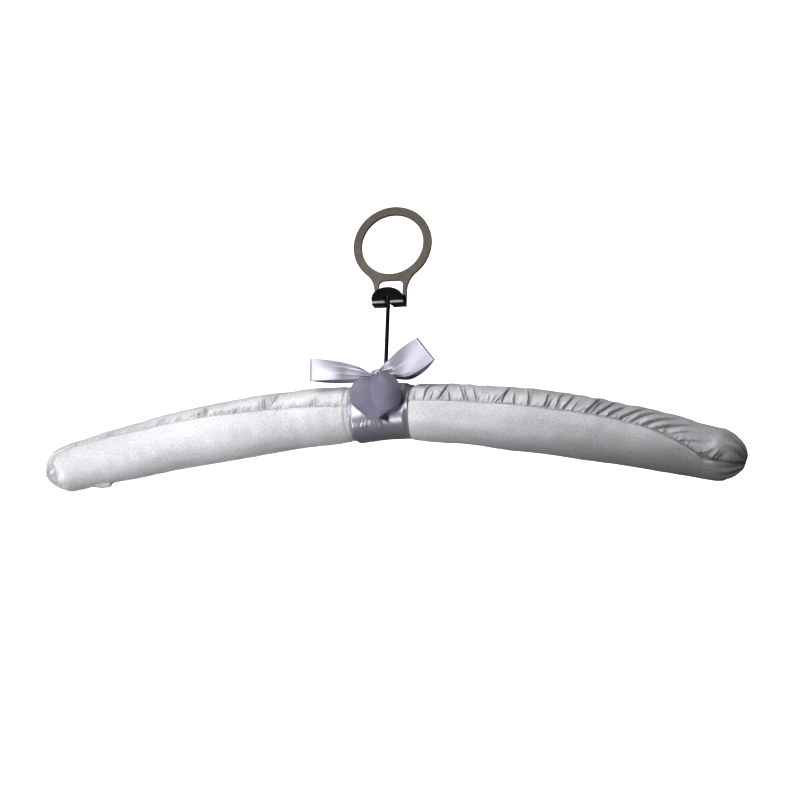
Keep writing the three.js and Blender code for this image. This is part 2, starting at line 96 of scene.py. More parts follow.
# Arms
HALF_SPAN = 198.5
ARM_Z = -105.2
DROOP_SLOPE = 7.5
DROOP_CURVE = 31.5
FORWARD_CURVE = 22.5
ROOT_RADIUS = 16.0
RADIUS_SWELL = 12.0
RADIUS_TAPER = 14.5
TIP_START = 0.93
SLEEVE_START = 0.085
PANEL_END = 0.966
RIGHT_FRONT_PANEL_END = 0.992
GIRTH_RADIUS = 17.0
WADDING_START = 0.03
WADDING_INSET = 2.4

# Wooden core's section
CORE_END = 0.92
CORE_HALF_HEIGHT = 10.0
CORE_HALF_DEPTH = 6.5
CORE_TAPER = 0.32

# Seams, as angles round the arm from its crest, positive towards the front
BACK_SEAM_DEG = -55.0
UNDER_SEAM_DEG = 180.0
LEFT_SEAM_ROOT_DEG = 92.0
LEFT_SEAM_CLIMB_DEG = 45.0
RIGHT_SEAM_ROOT_DEG = 80.0
RIGHT_SEAM_CLIMB_DEG = 9.0
RIGHT_SEAM_DROP_DEG = 42.0
RIGHT_SEAM_DROP_START = 0.6
RIGHT_SEAM_DROP_END = 0.91
PANEL_CORNER = 0.022

# Cloth
CLOTH_THICKNESS = 0.5
CLOTH_INSET = 1.0
GATHER_WIDTH = 0.38
WRAP_RADIUS = 15.9
WRAP_SQUARENESS = 2.7
WRAP_HALF_WIDTH = 17.6
RIBBON_THICKNESS = 0.35
KNOT_CENTRE = (-1.2, -14.2, -86.4)
TIE_Z = -85.6

# Stitching
STITCH_PITCH = 2.6
STITCH_LENGTH = 1.7
STITCH_RINGS = 5
THREAD_RADIUS = 0.16
THREAD_SIDES = 6

# Stuffing: the frames it takes to settle, and the most that it may push the cover out
SETTLING_FRAMES = 20
STUFFING_PRESSURE = 4.0
LARGEST_SWELL = 1.6


# ---- Small maths ----


def smoothstep(low, high, x):
    """0 below low, 1 above high and a smooth rise between them."""
    s = np.clip((np.asarray(x, float) - low) / (high - low), 0.0, 1.0)
    return s * s * (3.0 - 2.0 * s)


def bump(x, centre, width):
    """A bell of height 1."""
    return np.exp(-(((np.asarray(x, float) - centre) / width) ** 2))


def wave_noise(seed, p, q, size):
    """Smooth noise of about -1 to 1 over two coordinates in mm, with features of about size mm."""
    count = 14
    random = np.random.RandomState(seed)
    total = np.zeros(np.broadcast(p, q).shape)
    for _ in range(count):
        turn = random.uniform(0.0, math.pi)
        wavelength = size * random.uniform(1.4, 3.2)
        phase = random.uniform(0.0, 2.0 * math.pi)
        along = p * math.cos(turn) + q * math.sin(turn)
        total += np.sin(2.0 * math.pi * along / wavelength + phase)
    return total / math.sqrt(count)


def spline(points, samples):
    """Points on a smooth curve through the given points, evenly spaced in its parameter."""
    p = np.array(points, float)
    ends = np.vstack([2 * p[0] - p[1], p, 2 * p[-1] - p[-2]])
    at = np.clip(np.asarray(samples, float), 0.0, 1.0) * (len(p) - 1)
    i = np.minimum(at.astype(int), len(p) - 2)
    f = (at - i)[..., None]
    a, b, c, d = ends[i], ends[i + 1], ends[i + 2], ends[i + 3]
    return 0.5 * (
        2 * b
        + (c - a) * f
        + (2 * a - 5 * b + 4 * c - d) * f**2
        + (3 * b - a - 3 * c + d) * f**3
    )


# ---- Meshes ----


def link(name, mesh, materials):
    """A new object of that mesh in the scene."""
    for material in materials:
        mesh.materials.append(material)
    piece = bpy.data.objects.new(name, mesh)
    bpy.context.scene.collection.objects.link(piece)
    return piece


def mesh_piece(name, points, faces, materials, uv=None, values=None):
    """An object from points in mm. uv has one pair for each corner of each face, in mm."""
    used = np.unique(np.concatenate([np.asarray(f) for f in faces]))
    renumber = np.full(len(points), -1)
    renumber[used] = np.arange(len(used))
    mesh = bpy.data.meshes.new(name)
    mesh.from_pydata(
        (points[used] * MM).tolist(), [], [renumber[np.asarray(f)].tolist() for f in faces]
    )
    if uv is not None:
        layer = mesh.uv_layers.new(name="metres")
        layer.data.foreach_set("uv", (np.concatenate(uv) * MM).astype(np.float32).ravel())
    for key, value in (values or {}).items():
        attribute = mesh.attributes.new(key, "FLOAT", "POINT")
        attribute.data.foreach_set("value", np.asarray(value, np.float32)[used])
    mesh.polygons.foreach_set("use_smooth", [True] * len(mesh.polygons))
    mesh.validate()
    mesh.update()
    return link(name, mesh, materials)


def gone_along(points, axis):
    """Distance from the first point along each line of a grid in that direction."""
    steps = np.linalg.norm(np.diff(points, axis=axis), axis=-1)
    return np.cumsum(np.concatenate([0.0 * steps.take([0], axis), steps], axis=axis), axis=axis)


def sheet_piece(name, points, materials, values=None, closed=False):
    """An object from a grid of points, rows by columns. Its map runs along the rows, then across."""
    columns = points.shape[1]
    wide = np.concatenate([points, points[:, :1]], axis=1) if closed else points
    along = gone_along(wide, 0)
    over = gone_along(wide, 1)
    faces = []
    uv = []
    for i in range(len(wide) - 1):
        for j in range(wide.shape[1] - 1):
            corners = [(i, j), (i, j + 1), (i + 1, j + 1), (i + 1, j)]
            faces.append([a * columns + b % columns for a, b in corners])
            uv.append([(along[c], over[c]) for c in corners])
    flat = {key: value.reshape(-1) for key, value in (values or {}).items()}
    return mesh_piece(name, points.reshape(-1, 3), faces, materials, uv, flat)


def thicken(piece, thickness, offset=-1.0, inner_material=0):
    """Closes a sheet into a solid of that thickness in mm."""
    solid = piece.modifiers.new("thickness", "SOLIDIFY")
    solid.thickness = thickness * MM
    solid.offset = offset
    solid.use_even_offset = False
    solid.use_quality_normals = True
    solid.material_offset = inner_material
    solid.material_offset_rim = 0
    return piece


def weld(piece):
    """Joins points that meet and turns faces out."""
    work = bmesh.new()
    work.from_mesh(piece.data)
    bmesh.ops.remove_doubles(work, verts=work.verts, dist=1e-6)
    bmesh.ops.recalc_face_normals(work, faces=work.faces)
    work.to_mesh(piece.data)
    work.free()
    return piece


def soften_edges(piece, radius):
    """Rounds the sharp edges of a hard piece."""
    bevel = piece.modifiers.new("edges", "BEVEL")
    bevel.width = radius * MM
    bevel.segments = 2
    bevel.limit_method = "ANGLE"
    bevel.angle_limit = math.radians(35)
    normals = piece.modifiers.new("normals", "WEIGHTED_NORMAL")
    normals.keep_sharp = True
    return piece


# ---- Materials ----


class Nodes:
    """A material's node tree, built a node at a time."""

    def __init__(self, name):
        self.material = bpy.data.materials.new(name)
        self.material.use_nodes = True
        self.tree = self.material.node_tree
        self.tree.nodes.clear()
        self.output = self.tree.nodes.new("ShaderNodeOutputMaterial")

    def add(self, kind, inputs=None, **settings):
        node = self.tree.nodes.new(kind)
        for key, value in settings.items():
            setattr(node, key, value)
        for key, value in (inputs or {}).items():
            self.put(node.inputs[key], value)
        return node

    def put(self, socket, value):
        """Links the socket to another node's output, or sets its value."""
        if isinstance(value, bpy.types.NodeSocket):
            self.tree.links.new(value, socket)
        else:
            socket.default_value = value

    def maths(self, operation, a, b=0.0):
        node = self.add("ShaderNodeMath", operation=operation)
        self.put(node.inputs[0], a)
        self.put(node.inputs[1], b)
        return node.outputs[0]

    def remap(self, value, low, high, to_low, to_high):
        inputs = {"Value": value, "From Min": low, "From Max": high, "To Min": to_low, "To Max": to_high}
        return self.add("ShaderNodeMapRange", inputs).outputs["Result"]

    def mix(self, factor, a, b, blend="MIX"):
        node = self.add("ShaderNodeMix", data_type="RGBA", blend_type=blend)
        self.put(node.inputs["Factor"], factor)
        self.put(node.inputs[6], a)
        self.put(node.inputs[7], b)
        return node.outputs[2]

    def weigh(self, a, share_a, b, share_b):
        """The sum of a and b, each times its share."""
        return self.maths("ADD", self.maths("MULTIPLY", a, share_a), self.maths("MULTIPLY", b, share_b))

    def two_tone(self, value, low, high, dark, light):
        """A colour that runs from dark at the low value to light at the high one."""
        return self.mix(self.remap(value, low, high, 0.0, 1.0), rgb(*dark), rgb(*light))

    def waves(self, place, scale, distortion, direction="X"):
        inputs = {"Vector": place, "Scale": scale, "Distortion": distortion, "Detail": 1.0}
        settings = {"wave_type": "BANDS", "bands_direction": direction}
        return self.add("ShaderNodeTexWave", inputs, **settings).outputs["Fac"]

    def place(self, source, scale=(1.0, 1.0, 1.0), turn=0.0):
        """Object or UV coordinates, scaled and turned."""
        coordinates = self.add("ShaderNodeTexCoord").outputs[source]
        mapping = self.add("ShaderNodeMapping", {"Vector": coordinates})
        mapping.inputs["Scale"].default_value = scale
        mapping.inputs["Rotation"].default_value = (0.0, 0.0, turn)
        return mapping.outputs[0]

    def noise(self, place, scale, detail=2.0, roughness=0.5):
        inputs = {"Vector": place, "Scale": scale, "Detail": detail, "Roughness": roughness}
        return self.add("ShaderNodeTexNoise", inputs).outputs["Fac"]

    def bump(self, height, distance, strength=1.0, normal=None):
        inputs = {"Height": height, "Distance": distance * MM, "Strength": strength}
        node = self.add("ShaderNodeBump", inputs)
        if normal is not None:
            self.put(node.inputs["Normal"], normal)
        return node.outputs[0]

    def finish(self, **inputs):
        shader = self.add("ShaderNodeBsdfPrincipled")
        for key, value in inputs.items():
            self.put(shader.inputs[key.replace("_", " ")], value)
        self.tree.links.new(shader.outputs[0], self.output.inputs["Surface"])
        return self.material


def rgb(*values):
    return (*values, 1.0)


def weave_height(nodes, warp_scale, weft_scale):
    """Satin's surface: long floats of the warp over the weft, from the map in metres."""
    place = nodes.place("UV")
    warp = nodes.waves(place, warp_scale, 0.6, "Y")
    weft = nodes.waves(place, weft_scale, 1.2)
    return nodes.weigh(warp, 0.65, weft, 0.35)


def satin(name, light, dark, roughness, anisotropy, metallic, weave, speckle, turn=0.25):
    """Woven satin: silky floats, a fine sparkle of threads, soft broad variation, and painted shade in
    creases.
    """
    nodes = Nodes(name)
    here = nodes.place("Object")
    broad = nodes.noise(here, 38.0, 3.0)
    fine = nodes.noise(here, 1250.0, 2.0, 0.75)
    streak = nodes.noise(nodes.place("UV", (90.0, 1400.0, 1.0)), 1.0, 2.0, 0.6)
    tone = nodes.weigh(broad, 1.0 - speckle, fine, speckle)
    colour = nodes.two_tone(tone, 0.36, 0.64, dark, light)
    # Painted shade: the colour is multiplied down to 0.35 where the mesh attribute marks creases, seams,
    # hollows and tips.
    fold_shade = nodes.add("ShaderNodeAttribute", attribute_name="fold_shade").outputs["Fac"]
    shade = nodes.remap(fold_shade, 0.0, 1.0, 1.0, 0.35)
    grey = nodes.add("ShaderNodeCombineColor", {"Red": shade, "Green": shade, "Blue": shade})
    colour = nodes.mix(1.0, colour, grey.outputs[0], "MULTIPLY")
    rough = nodes.remap(fine, 0.3, 0.7, roughness - 0.05, roughness + 0.05)
    threads = nodes.weigh(weave_height(nodes, 400.0, 260.0), 1.0, streak, 0.4)
    normal = nodes.bump(fine, 0.06, speckle, nodes.bump(threads, 0.02, weave))
    tangent = nodes.add("ShaderNodeTangent", direction_type="UV_MAP", uv_map="metres").outputs[0]
    return nodes.finish(
        Base_Color=colour,
        Roughness=rough,
        Metallic=metallic,
        Anisotropic=anisotropy,
        Anisotropic_Rotation=turn,
        Tangent=tangent,
        Sheen_Weight=0.1,
        Sheen_Roughness=0.35,
        Normal=normal,
    )


def ribbon_back(name, light, dark):
    """The dull reverse of single-faced ribbon."""
    nodes = Nodes(name)
    here = nodes.place("Object")
    broad = nodes.noise(here, 90.0, 3.0)
    thread = nodes.noise(nodes.place("UV", (300.0, 2400.0, 1.0)), 1.0, 2.0, 0.6)
    colour = nodes.two_tone(nodes.weigh(broad, 0.6, thread, 0.4), 0.35, 0.65, dark, light)
    normal = nodes.bump(weave_height(nodes, 320.0, 320.0), 0.03, 0.6)
    return nodes.finish(
        Base_Color=colour,
        Roughness=nodes.remap(thread, 0.3, 0.7, 0.6, 0.75),
        Sheen_Weight=0.35,
        Sheen_Roughness=0.4,
        Normal=normal,
    )


def nickel():
    """Satin nickel plate on a stamped sheet: rolled streaks and small pits; its dull cut edges are
    painted near-black as shade.
    """
    nodes = Nodes("ring_nickel")
    here = nodes.place("Object")
    broad = nodes.noise(here, 55.0, 4.0, 0.6)
    streak = nodes.noise(nodes.place("Object", (160.0, 160.0, 1500.0)), 1.0, 3.0, 0.6)
    pits = nodes.noise(here, 520.0, 2.0, 0.7)
    tone = nodes.weigh(broad, 0.55, streak, 0.45)
    colour = nodes.two_tone(tone, 0.35, 0.65, (0.095, 0.084, 0.067), (0.165, 0.148, 0.121))
    marks = nodes.remap(pits, 0.64, 0.74, 0.0, 0.75)
    colour = nodes.mix(marks, colour, rgb(0.03, 0.027, 0.022))
    # Painted shade: faces that turn away from front and back, the cut edges and the bore, go near-black.
    facing = nodes.add("ShaderNodeSeparateXYZ", {"Vector": nodes.place("Normal")}).outputs["Y"]
    wall = nodes.remap(nodes.maths("ABSOLUTE", facing), 0.55, 0.9, 1.0, 0.0)
    colour = nodes.mix(wall, colour, rgb(0.035, 0.03, 0.026))
    rough = nodes.remap(streak, 0.3, 0.7, 0.42, 0.56)
    height = nodes.weigh(streak, 1.0, marks, -1.5)
    return nodes.finish(
        Base_Color=colour, Metallic=0.85, Roughness=rough, Normal=nodes.bump(height, 0.03, 0.5)
    )


def black_plate():
    """Glossy black plating with faint scuffs, and a painted highlight where the mesh attribute says so.
    """
    nodes = Nodes("black_metal")
    here = nodes.place("Object")
    broad = nodes.noise(here, 220.0, 3.0, 0.6)
    scuff = nodes.noise(nodes.place("Object", (200.0, 900.0, 2500.0)), 1.0, 3.0, 0.65)
    colour = nodes.two_tone(broad, 0.3, 0.7, (0.0012, 0.0014, 0.0018), (0.004, 0.0045, 0.006))
    scuffed = nodes.remap(scuff, 0.66, 0.75, 0.0, 0.5)
    colour = nodes.mix(scuffed, colour, rgb(0.12, 0.12, 0.12))
    # Painted highlight: the colour turns near-white where the mesh attribute marks the bend's lines of
    # reflected light.
    bend_highlight = nodes.add("ShaderNodeAttribute", attribute_name="bend_highlight").outputs["Fac"]
    bend_highlight = nodes.maths("MULTIPLY", bend_highlight, nodes.remap(broad, 0.25, 0.6, 0.75, 1.0))
    colour = nodes.mix(bend_highlight, colour, rgb(0.8, 0.78, 0.84))
    return nodes.finish(
        Base_Color=colour,
        Roughness=nodes.remap(scuff, 0.3, 0.7, 0.12, 0.24),
        Specular_IOR_Level=0.2,
        Normal=nodes.bump(scuff, 0.01, 0.35),
    )


def zinc():
    """Bright zinc with a crystalline mottle."""
    nodes = Nodes("zinc_steel")
    cells = nodes.add(
        "ShaderNodeTexVoronoi", {"Vector": nodes.place("Object"), "Scale": 900.0}
    ).outputs["Distance"]
    colour = nodes.two_tone(cells, 0.0, 0.8, (0.55, 0.57, 0.58), (0.72, 0.73, 0.73))
    return nodes.finish(
        Base_Color=colour,
        Metallic=1.0,
        Roughness=nodes.remap(cells, 0.0, 0.8, 0.28, 0.45),
        Normal=nodes.bump(cells, 0.02, 0.4),
    )


def wood():
    """Plain sanded beech, with its grain along the arms."""
    nodes = Nodes("core_wood")
    grain = nodes.noise(nodes.place("Object", (14.0, 260.0, 260.0)), 1.0, 5.0, 0.6)
    flecks = nodes.noise(nodes.place("Object", (250.0, 1500.0, 1500.0)), 1.0, 2.0, 0.5)
    colour = nodes.two_tone(grain, 0.3, 0.7, (0.42, 0.27, 0.14), (0.66, 0.48, 0.29))
    colour = nodes.mix(nodes.remap(flecks, 0.6, 0.7, 0.0, 0.4), colour, rgb(0.3, 0.17, 0.08))
    return nodes.finish(
        Base_Color=colour,
        Roughness=nodes.remap(grain, 0.3, 0.7, 0.55, 0.7),
        Normal=nodes.bump(nodes.maths("ADD", grain, flecks), 0.05, 0.4),
    )


def wadding():
    """Matted polyester fibre."""
    nodes = Nodes("wadding")
    here = nodes.place("Object")
    clumps = nodes.noise(here, 260.0, 4.0, 0.65)
    fibres = nodes.noise(nodes.place("Object", (600.0, 2600.0, 1800.0), 0.5), 1.0, 4.0, 0.7)
    colour = nodes.mix(clumps, rgb(0.74, 0.73, 0.7), rgb(0.9, 0.89, 0.87))
    height = nodes.weigh(clumps, 1.0, fibres, 0.5)
    return nodes.finish(
        Base_Color=colour, Roughness=0.95, Sheen_Weight=0.5, Normal=nodes.bump(height, 0.6, 0.7)
    )


def thread():
    """Twisted sewing thread of a slightly warmer tone than the satin."""
    nodes = Nodes("stitching")
    twist = nodes.add(
        "ShaderNodeTexWave",
        {"Vector": nodes.place("Object", (1.0, 1.0, 1.0), 0.6), "Scale": 420.0, "Distortion": 0.5},
    ).outputs["Fac"]
    colour = nodes.mix(twist, rgb(0.40, 0.26, 0.27), rgb(0.58, 0.44, 0.45))
    return nodes.finish(
        Base_Color=colour, Roughness=0.6, Sheen_Weight=0.3, Normal=nodes.bump(twist, 0.03, 0.6)
    )


def backdrop_paper():
    """Matte white paper with a faint tooth."""
    nodes = Nodes("backdrop_paper")
    tooth = nodes.noise(nodes.place("Object"), 35.0, 3.0)
    colour = nodes.mix(tooth, rgb(0.85, 0.85, 0.85), rgb(0.8585, 0.8585, 0.8585))
    return nodes.finish(Base_Color=colour, Roughness=0.9, Normal=nodes.bump(tooth, 0.2, 0.1))


RIBBON_LIGHT = (0.47, 0.45, 0.54)
RIBBON_DARK = (0.41, 0.395, 0.475)

COVER = satin("cover_satin", (0.93, 0.915, 0.95), (0.60, 0.585, 0.62), 0.5, 0.3, 0.15, 0.4, 0.7)
RIBBON = satin("ribbon_satin", RIBBON_LIGHT, RIBBON_DARK, 0.34, 0.4, 0.4, 0.2, 0.15)
RIBBON_WOUND = satin(
    "ribbon_satin_wound", RIBBON_LIGHT, RIBBON_DARK, 0.32, 0.1, 0.55, 0.2, 0.15, turn=0.0
)
RIBBON_BACK = ribbon_back("ribbon_reverse", (0.25, 0.235, 0.33), (0.165, 0.15, 0.23))
NICKEL = nickel()
BLACK = black_plate()
ZINC = zinc()
WOOD = wood()
WADDING = wadding()
THREAD = thread()


# ---- Metal pieces ----


def arc(centre, radius, start, end, steps):
    """Points on an arc from start to end, in radians, both ends included."""
    turn = np.linspace(start, end, steps)
    return np.stack([centre[0] + radius * np.cos(turn), centre[1] + radius * np.sin(turn)], axis=1)


def ring_outline():
    """The plate's outer edge, with the neck window and the pin's slot cut in from below."""
    shoulder_x = NECK_HALF_WIDTH + SHOULDER_RADIUS
    shoulder_z = -math.sqrt((RING_OUTER_RADIUS + SHOULDER_RADIUS) ** 2 - shoulder_x**2)
    towards = math.atan2(shoulder_z, shoulder_x)
    side = WINDOW_HALF_WIDTH
    round_z = WINDOW_TOP_Z - WINDOW_CORNER
    round_x = side - WINDOW_CORNER
    half_pi = math.pi / 2
    return np.concatenate(
        [
            [(SLOT_HALF_WIDTH, PLATE_BOTTOM_Z), (NECK_HALF_WIDTH, PLATE_BOTTOM_Z)],
            arc((shoulder_x, shoulder_z), SHOULDER_RADIUS, math.pi, towards + math.pi, 24),
            arc((0.0, 0.0), RING_OUTER_RADIUS, towards, math.pi - towards, 160)[1:-1],
            arc((-shoulder_x, shoulder_z), SHOULDER_RADIUS, -towards, 0.0, 24),
            [(-NECK_HALF_WIDTH, PLATE_BOTTOM_Z), (-SLOT_HALF_WIDTH, PLATE_BOTTOM_Z)],
            [(-SLOT_HALF_WIDTH, WINDOW_BOTTOM_Z), (-side, WINDOW_BOTTOM_Z)],
            arc((-round_x, round_z), WINDOW_CORNER, math.pi, half_pi, 10),
            arc((round_x, round_z), WINDOW_CORNER, half_pi, 0.0, 10),
            [(side, WINDOW_BOTTOM_Z), (SLOT_HALF_WIDTH, WINDOW_BOTTOM_Z)],
        ]
    )


def stamped_plate(name, outlines, thickness, edge, material):
    """A flat plate in the XZ plane from closed outlines, with rounded edges."""
    curve = bpy.data.curves.new(name + "_outline", "CURVE")
    curve.dimensions = "2D"
    curve.fill_mode = "BOTH"
    curve.extrude = (thickness / 2 - edge) * MM
    curve.bevel_depth = edge * MM
    curve.bevel_resolution = 2
    curve.offset = -edge * MM
    for outline in outlines:
        line = curve.splines.new("POLY")
        line.points.add(len(outline) - 1)
        line.points.foreach_set(
            "co", np.column_stack([outline * MM, np.zeros(len(outline)), np.ones(len(outline))]).ravel()
        )
        line.use_cyclic_u = True
    holder = bpy.data.objects.new(name + "_outline", curve)
    bpy.context.scene.collection.objects.link(holder)
    bpy.context.view_layer.update()
    graph = bpy.context.evaluated_depsgraph_get()
    mesh = bpy.data.meshes.new_from_object(holder.evaluated_get(graph))
    bpy.data.objects.remove(holder)
    mesh.transform(Matrix.Rotation(math.pi / 2, 4, "X"))
    work = bmesh.new()
    work.from_mesh(mesh)
    bmesh.ops.remove_doubles(work, verts=work.verts, dist=1e-6)
    bmesh.ops.dissolve_limit(work, angle_limit=0.002, verts=work.verts, edges=work.edges)
    bmesh.ops.recalc_face_normals(work, faces=work.faces)
    for face in work.faces:
        face.smooth = True
    work.to_mesh(mesh)
    work.free()
    mesh.materials.clear()
    piece = link(name, mesh, [material])
    normals = piece.modifiers.new("normals", "WEIGHTED_NORMAL")
    normals.keep_sharp = True
    normals.weight = 100
    return piece


def security_ring():
    """The closed ring and its neck, one flat plate."""
    hole = arc((0.0, 0.0), RING_INNER_RADIUS, 0.0, 2 * math.pi, 161)[:-1]
    return stamped_plate("ring_plate", [ring_outline(), hole], PLATE_THICKNESS, 0.22, NICKEL)


def cradle_rows():
    """The sheet's middle line seen from the side, as y, z, half width and slot half width."""
    rows = []
    for z in np.linspace(CRADLE_BACK_TOP_Z, TROUGH_Z, 6)[:-1]:
        rows.append((PIN_Y + TROUGH_RADIUS, z, CRADLE_HALF_WIDTH, SLOT_HALF_WIDTH))
    lean_end = math.pi - LEAF_LEAN
    for turn in np.linspace(0.0, -lean_end, 40):
        rows.append(
            (
                PIN_Y + TROUGH_RADIUS * math.cos(turn),
                TROUGH_Z + TROUGH_RADIUS * math.sin(turn),
                CRADLE_HALF_WIDTH,
                SLOT_HALF_WIDTH,
            )
        )
    last_y, last_z = rows[-1][:2]
    for z in np.linspace(last_z, LEAF_SIDE_TOP_Z, 5)[1:-1]:
        rows.append((last_y - (z - last_z) * math.tan(LEAF_LEAN), z, CRADLE_HALF_WIDTH, SLOT_HALF_WIDTH))
    for turn in np.linspace(0.0, LEAF_ARC_END, 36):
        z = LEAF_SIDE_TOP_Z + (LEAF_TOP_Z - LEAF_SIDE_TOP_Z) * math.sin(turn)
        y = last_y - (z - last_z) * math.tan(LEAF_LEAN)
        over = max(0.0, z - LEAF_SLOT_CENTRE_Z)
        slot = math.sqrt(max(0.0, SLOT_HALF_WIDTH**2 - over**2))
        rows.append((y, z, max(CRADLE_HALF_WIDTH * math.cos(turn), 0.02), slot))
    return rows


def pin_cradle():
    """One bent sheet with a half-round front leaf and the pin's slot."""
    columns = 12
    points = []
    faces = []
    rows = cradle_rows()
    for mirror in (-1.0, 1.0):
        start = len(points)
        for y, z, half, slot in rows:
            for x in np.linspace(min(slot, half), half, columns):
                points.append((mirror * x, y, z))
        for i in range(len(rows) - 1):
            for j in range(columns - 1):
                a = start + i * columns + j
                face = [a, a + 1, a + columns + 1, a + columns]
                faces.append(face if mirror > 0 else face[::-1])
    points = np.array(points)
    z = points[:, 2]
    # Painted highlight: two bright lines along the front of the bend, the lower one fainter.
    bend = bump(z, BEND_HIGHLIGHT_Z, BEND_HIGHLIGHT_WIDTH)
    lower = 0.5 * bump(z, LOWER_HIGHLIGHT_Z, LOWER_HIGHLIGHT_WIDTH)
    bend_highlight = np.where(points[:, 1] < PIN_Y, np.maximum(bend, lower), 0.0)
    piece = mesh_piece("cradle_sheet", points, faces, [BLACK], values={"bend_highlight": bend_highlight})
    thicken(weld(piece), CRADLE_SHEET, 0.0)
    return soften_edges(piece, 0.18)


def turned(name, profile, segments, material):
    """A solid turned about the pin's axis from pairs of radius and z."""
    profile = np.array(profile, float)
    turn = np.linspace(0.0, 2 * math.pi, segments, endpoint=False)
    radius, z = profile[:, 0][:, None], profile[:, 1][:, None]
    points = np.stack(
        [radius * np.cos(turn), PIN_Y + radius * np.sin(turn), z + 0.0 * turn], axis=2
    )
    return weld(sheet_piece(name, points, [material], closed=True))


def ball_pin():
    """The rod with its rounded lower end, rolled collar and ball."""
    meet = math.asin((PIN_RADIUS + 0.15) / BALL_RADIUS)
    collar_low = TROUGH_Z - COLLAR_TOP - COLLAR_LENGTH
    collar_high = TROUGH_Z - COLLAR_TOP
    profile = [(0.0, PIN_END_Z), (PIN_RADIUS - 0.35, PIN_END_Z), (PIN_RADIUS, PIN_END_Z + 0.35)]
    profile += [(PIN_RADIUS, z) for z in np.linspace(PIN_END_Z + 1.0, collar_low - 0.3, 12)]
    for step in np.linspace(0.0, 1.0, 9):
        swell = (COLLAR_RADIUS - PIN_RADIUS) * math.sin(math.pi * step) ** 0.6
        profile.append((PIN_RADIUS + swell, collar_low + (collar_high - collar_low) * step))
    profile.append((PIN_RADIUS, collar_high + 0.2))
    for angle in np.linspace(meet, math.pi, 20):
        profile.append((BALL_RADIUS * math.sin(angle), TROUGH_Z - BALL_RADIUS * math.cos(angle)))
    return turned("ball_ended_pin", profile, 40, BLACK)


# ---- Arms ----


def arm_frame(side, t):
    """The arm's centre, tangent, upward and forward directions at t, from 0 to 1."""
    t = np.asarray(t, float)
    centre = np.stack(
        [
            side * HALF_SPAN * t,
            PIN_Y - FORWARD_CURVE * t**2,
            ARM_Z - DROOP_SLOPE * t - DROOP_CURVE * t**2,
        ],
        axis=-1,
    )
    tangent = np.stack(
        [side * HALF_SPAN + 0.0 * t, -2 * FORWARD_CURVE * t, -DROOP_SLOPE - 2 * DROOP_CURVE * t],
        axis=-1,
    )
    tangent /= np.linalg.norm(tangent, axis=-1, keepdims=True)
    up = np.array([0.0, 0.0, 1.0]) - tangent * tangent[..., 2:3]
    up /= np.linalg.norm(up, axis=-1, keepdims=True)
    front = np.cross(tangent, up) * side
    return centre, tangent, up, front


def arm_radius(t, offset):
    """The cover's radius at t, moved out by offset, with a round tip."""
    end = 1.0 + offset / HALF_SPAN
    body = ROOT_RADIUS + RADIUS_SWELL * t - RADIUS_TAPER * t**2 + offset
    into = np.clip((t - TIP_START) / (end - TIP_START), 0.0, 1.0)
    return body * np.sqrt(np.maximum(0.0, 1.0 - into**2))


def arm_points(side, t, degrees, offset):
    """Points on the arm and the directions out of it."""
    centre, tangent, up, front = arm_frame(side, t)
    turn = np.radians(degrees)[..., None]
    radial = up * np.cos(turn) + front * np.sin(turn)
    into = np.clip((t - TIP_START) / (1.0 - TIP_START), 0.0, 1.0)[..., None]
    outward = radial * np.sqrt(np.maximum(0.0, 1.0 - into**2)) + tangent * into
    return centre + radial * arm_radius(t, offset)[..., None], outward


def front_seam(side, t):
    """The front seam's angle at t."""
    if side < 0:
        return LEFT_SEAM_ROOT_DEG - LEFT_SEAM_CLIMB_DEG * t
    span = RIGHT_SEAM_DROP_END - RIGHT_SEAM_DROP_START
    drop = np.clip((t - RIGHT_SEAM_DROP_START) / span, 0.0, 1.0) ** 3
    return RIGHT_SEAM_ROOT_DEG - RIGHT_SEAM_CLIMB_DEG * t + RIGHT_SEAM_DROP_DEG * drop


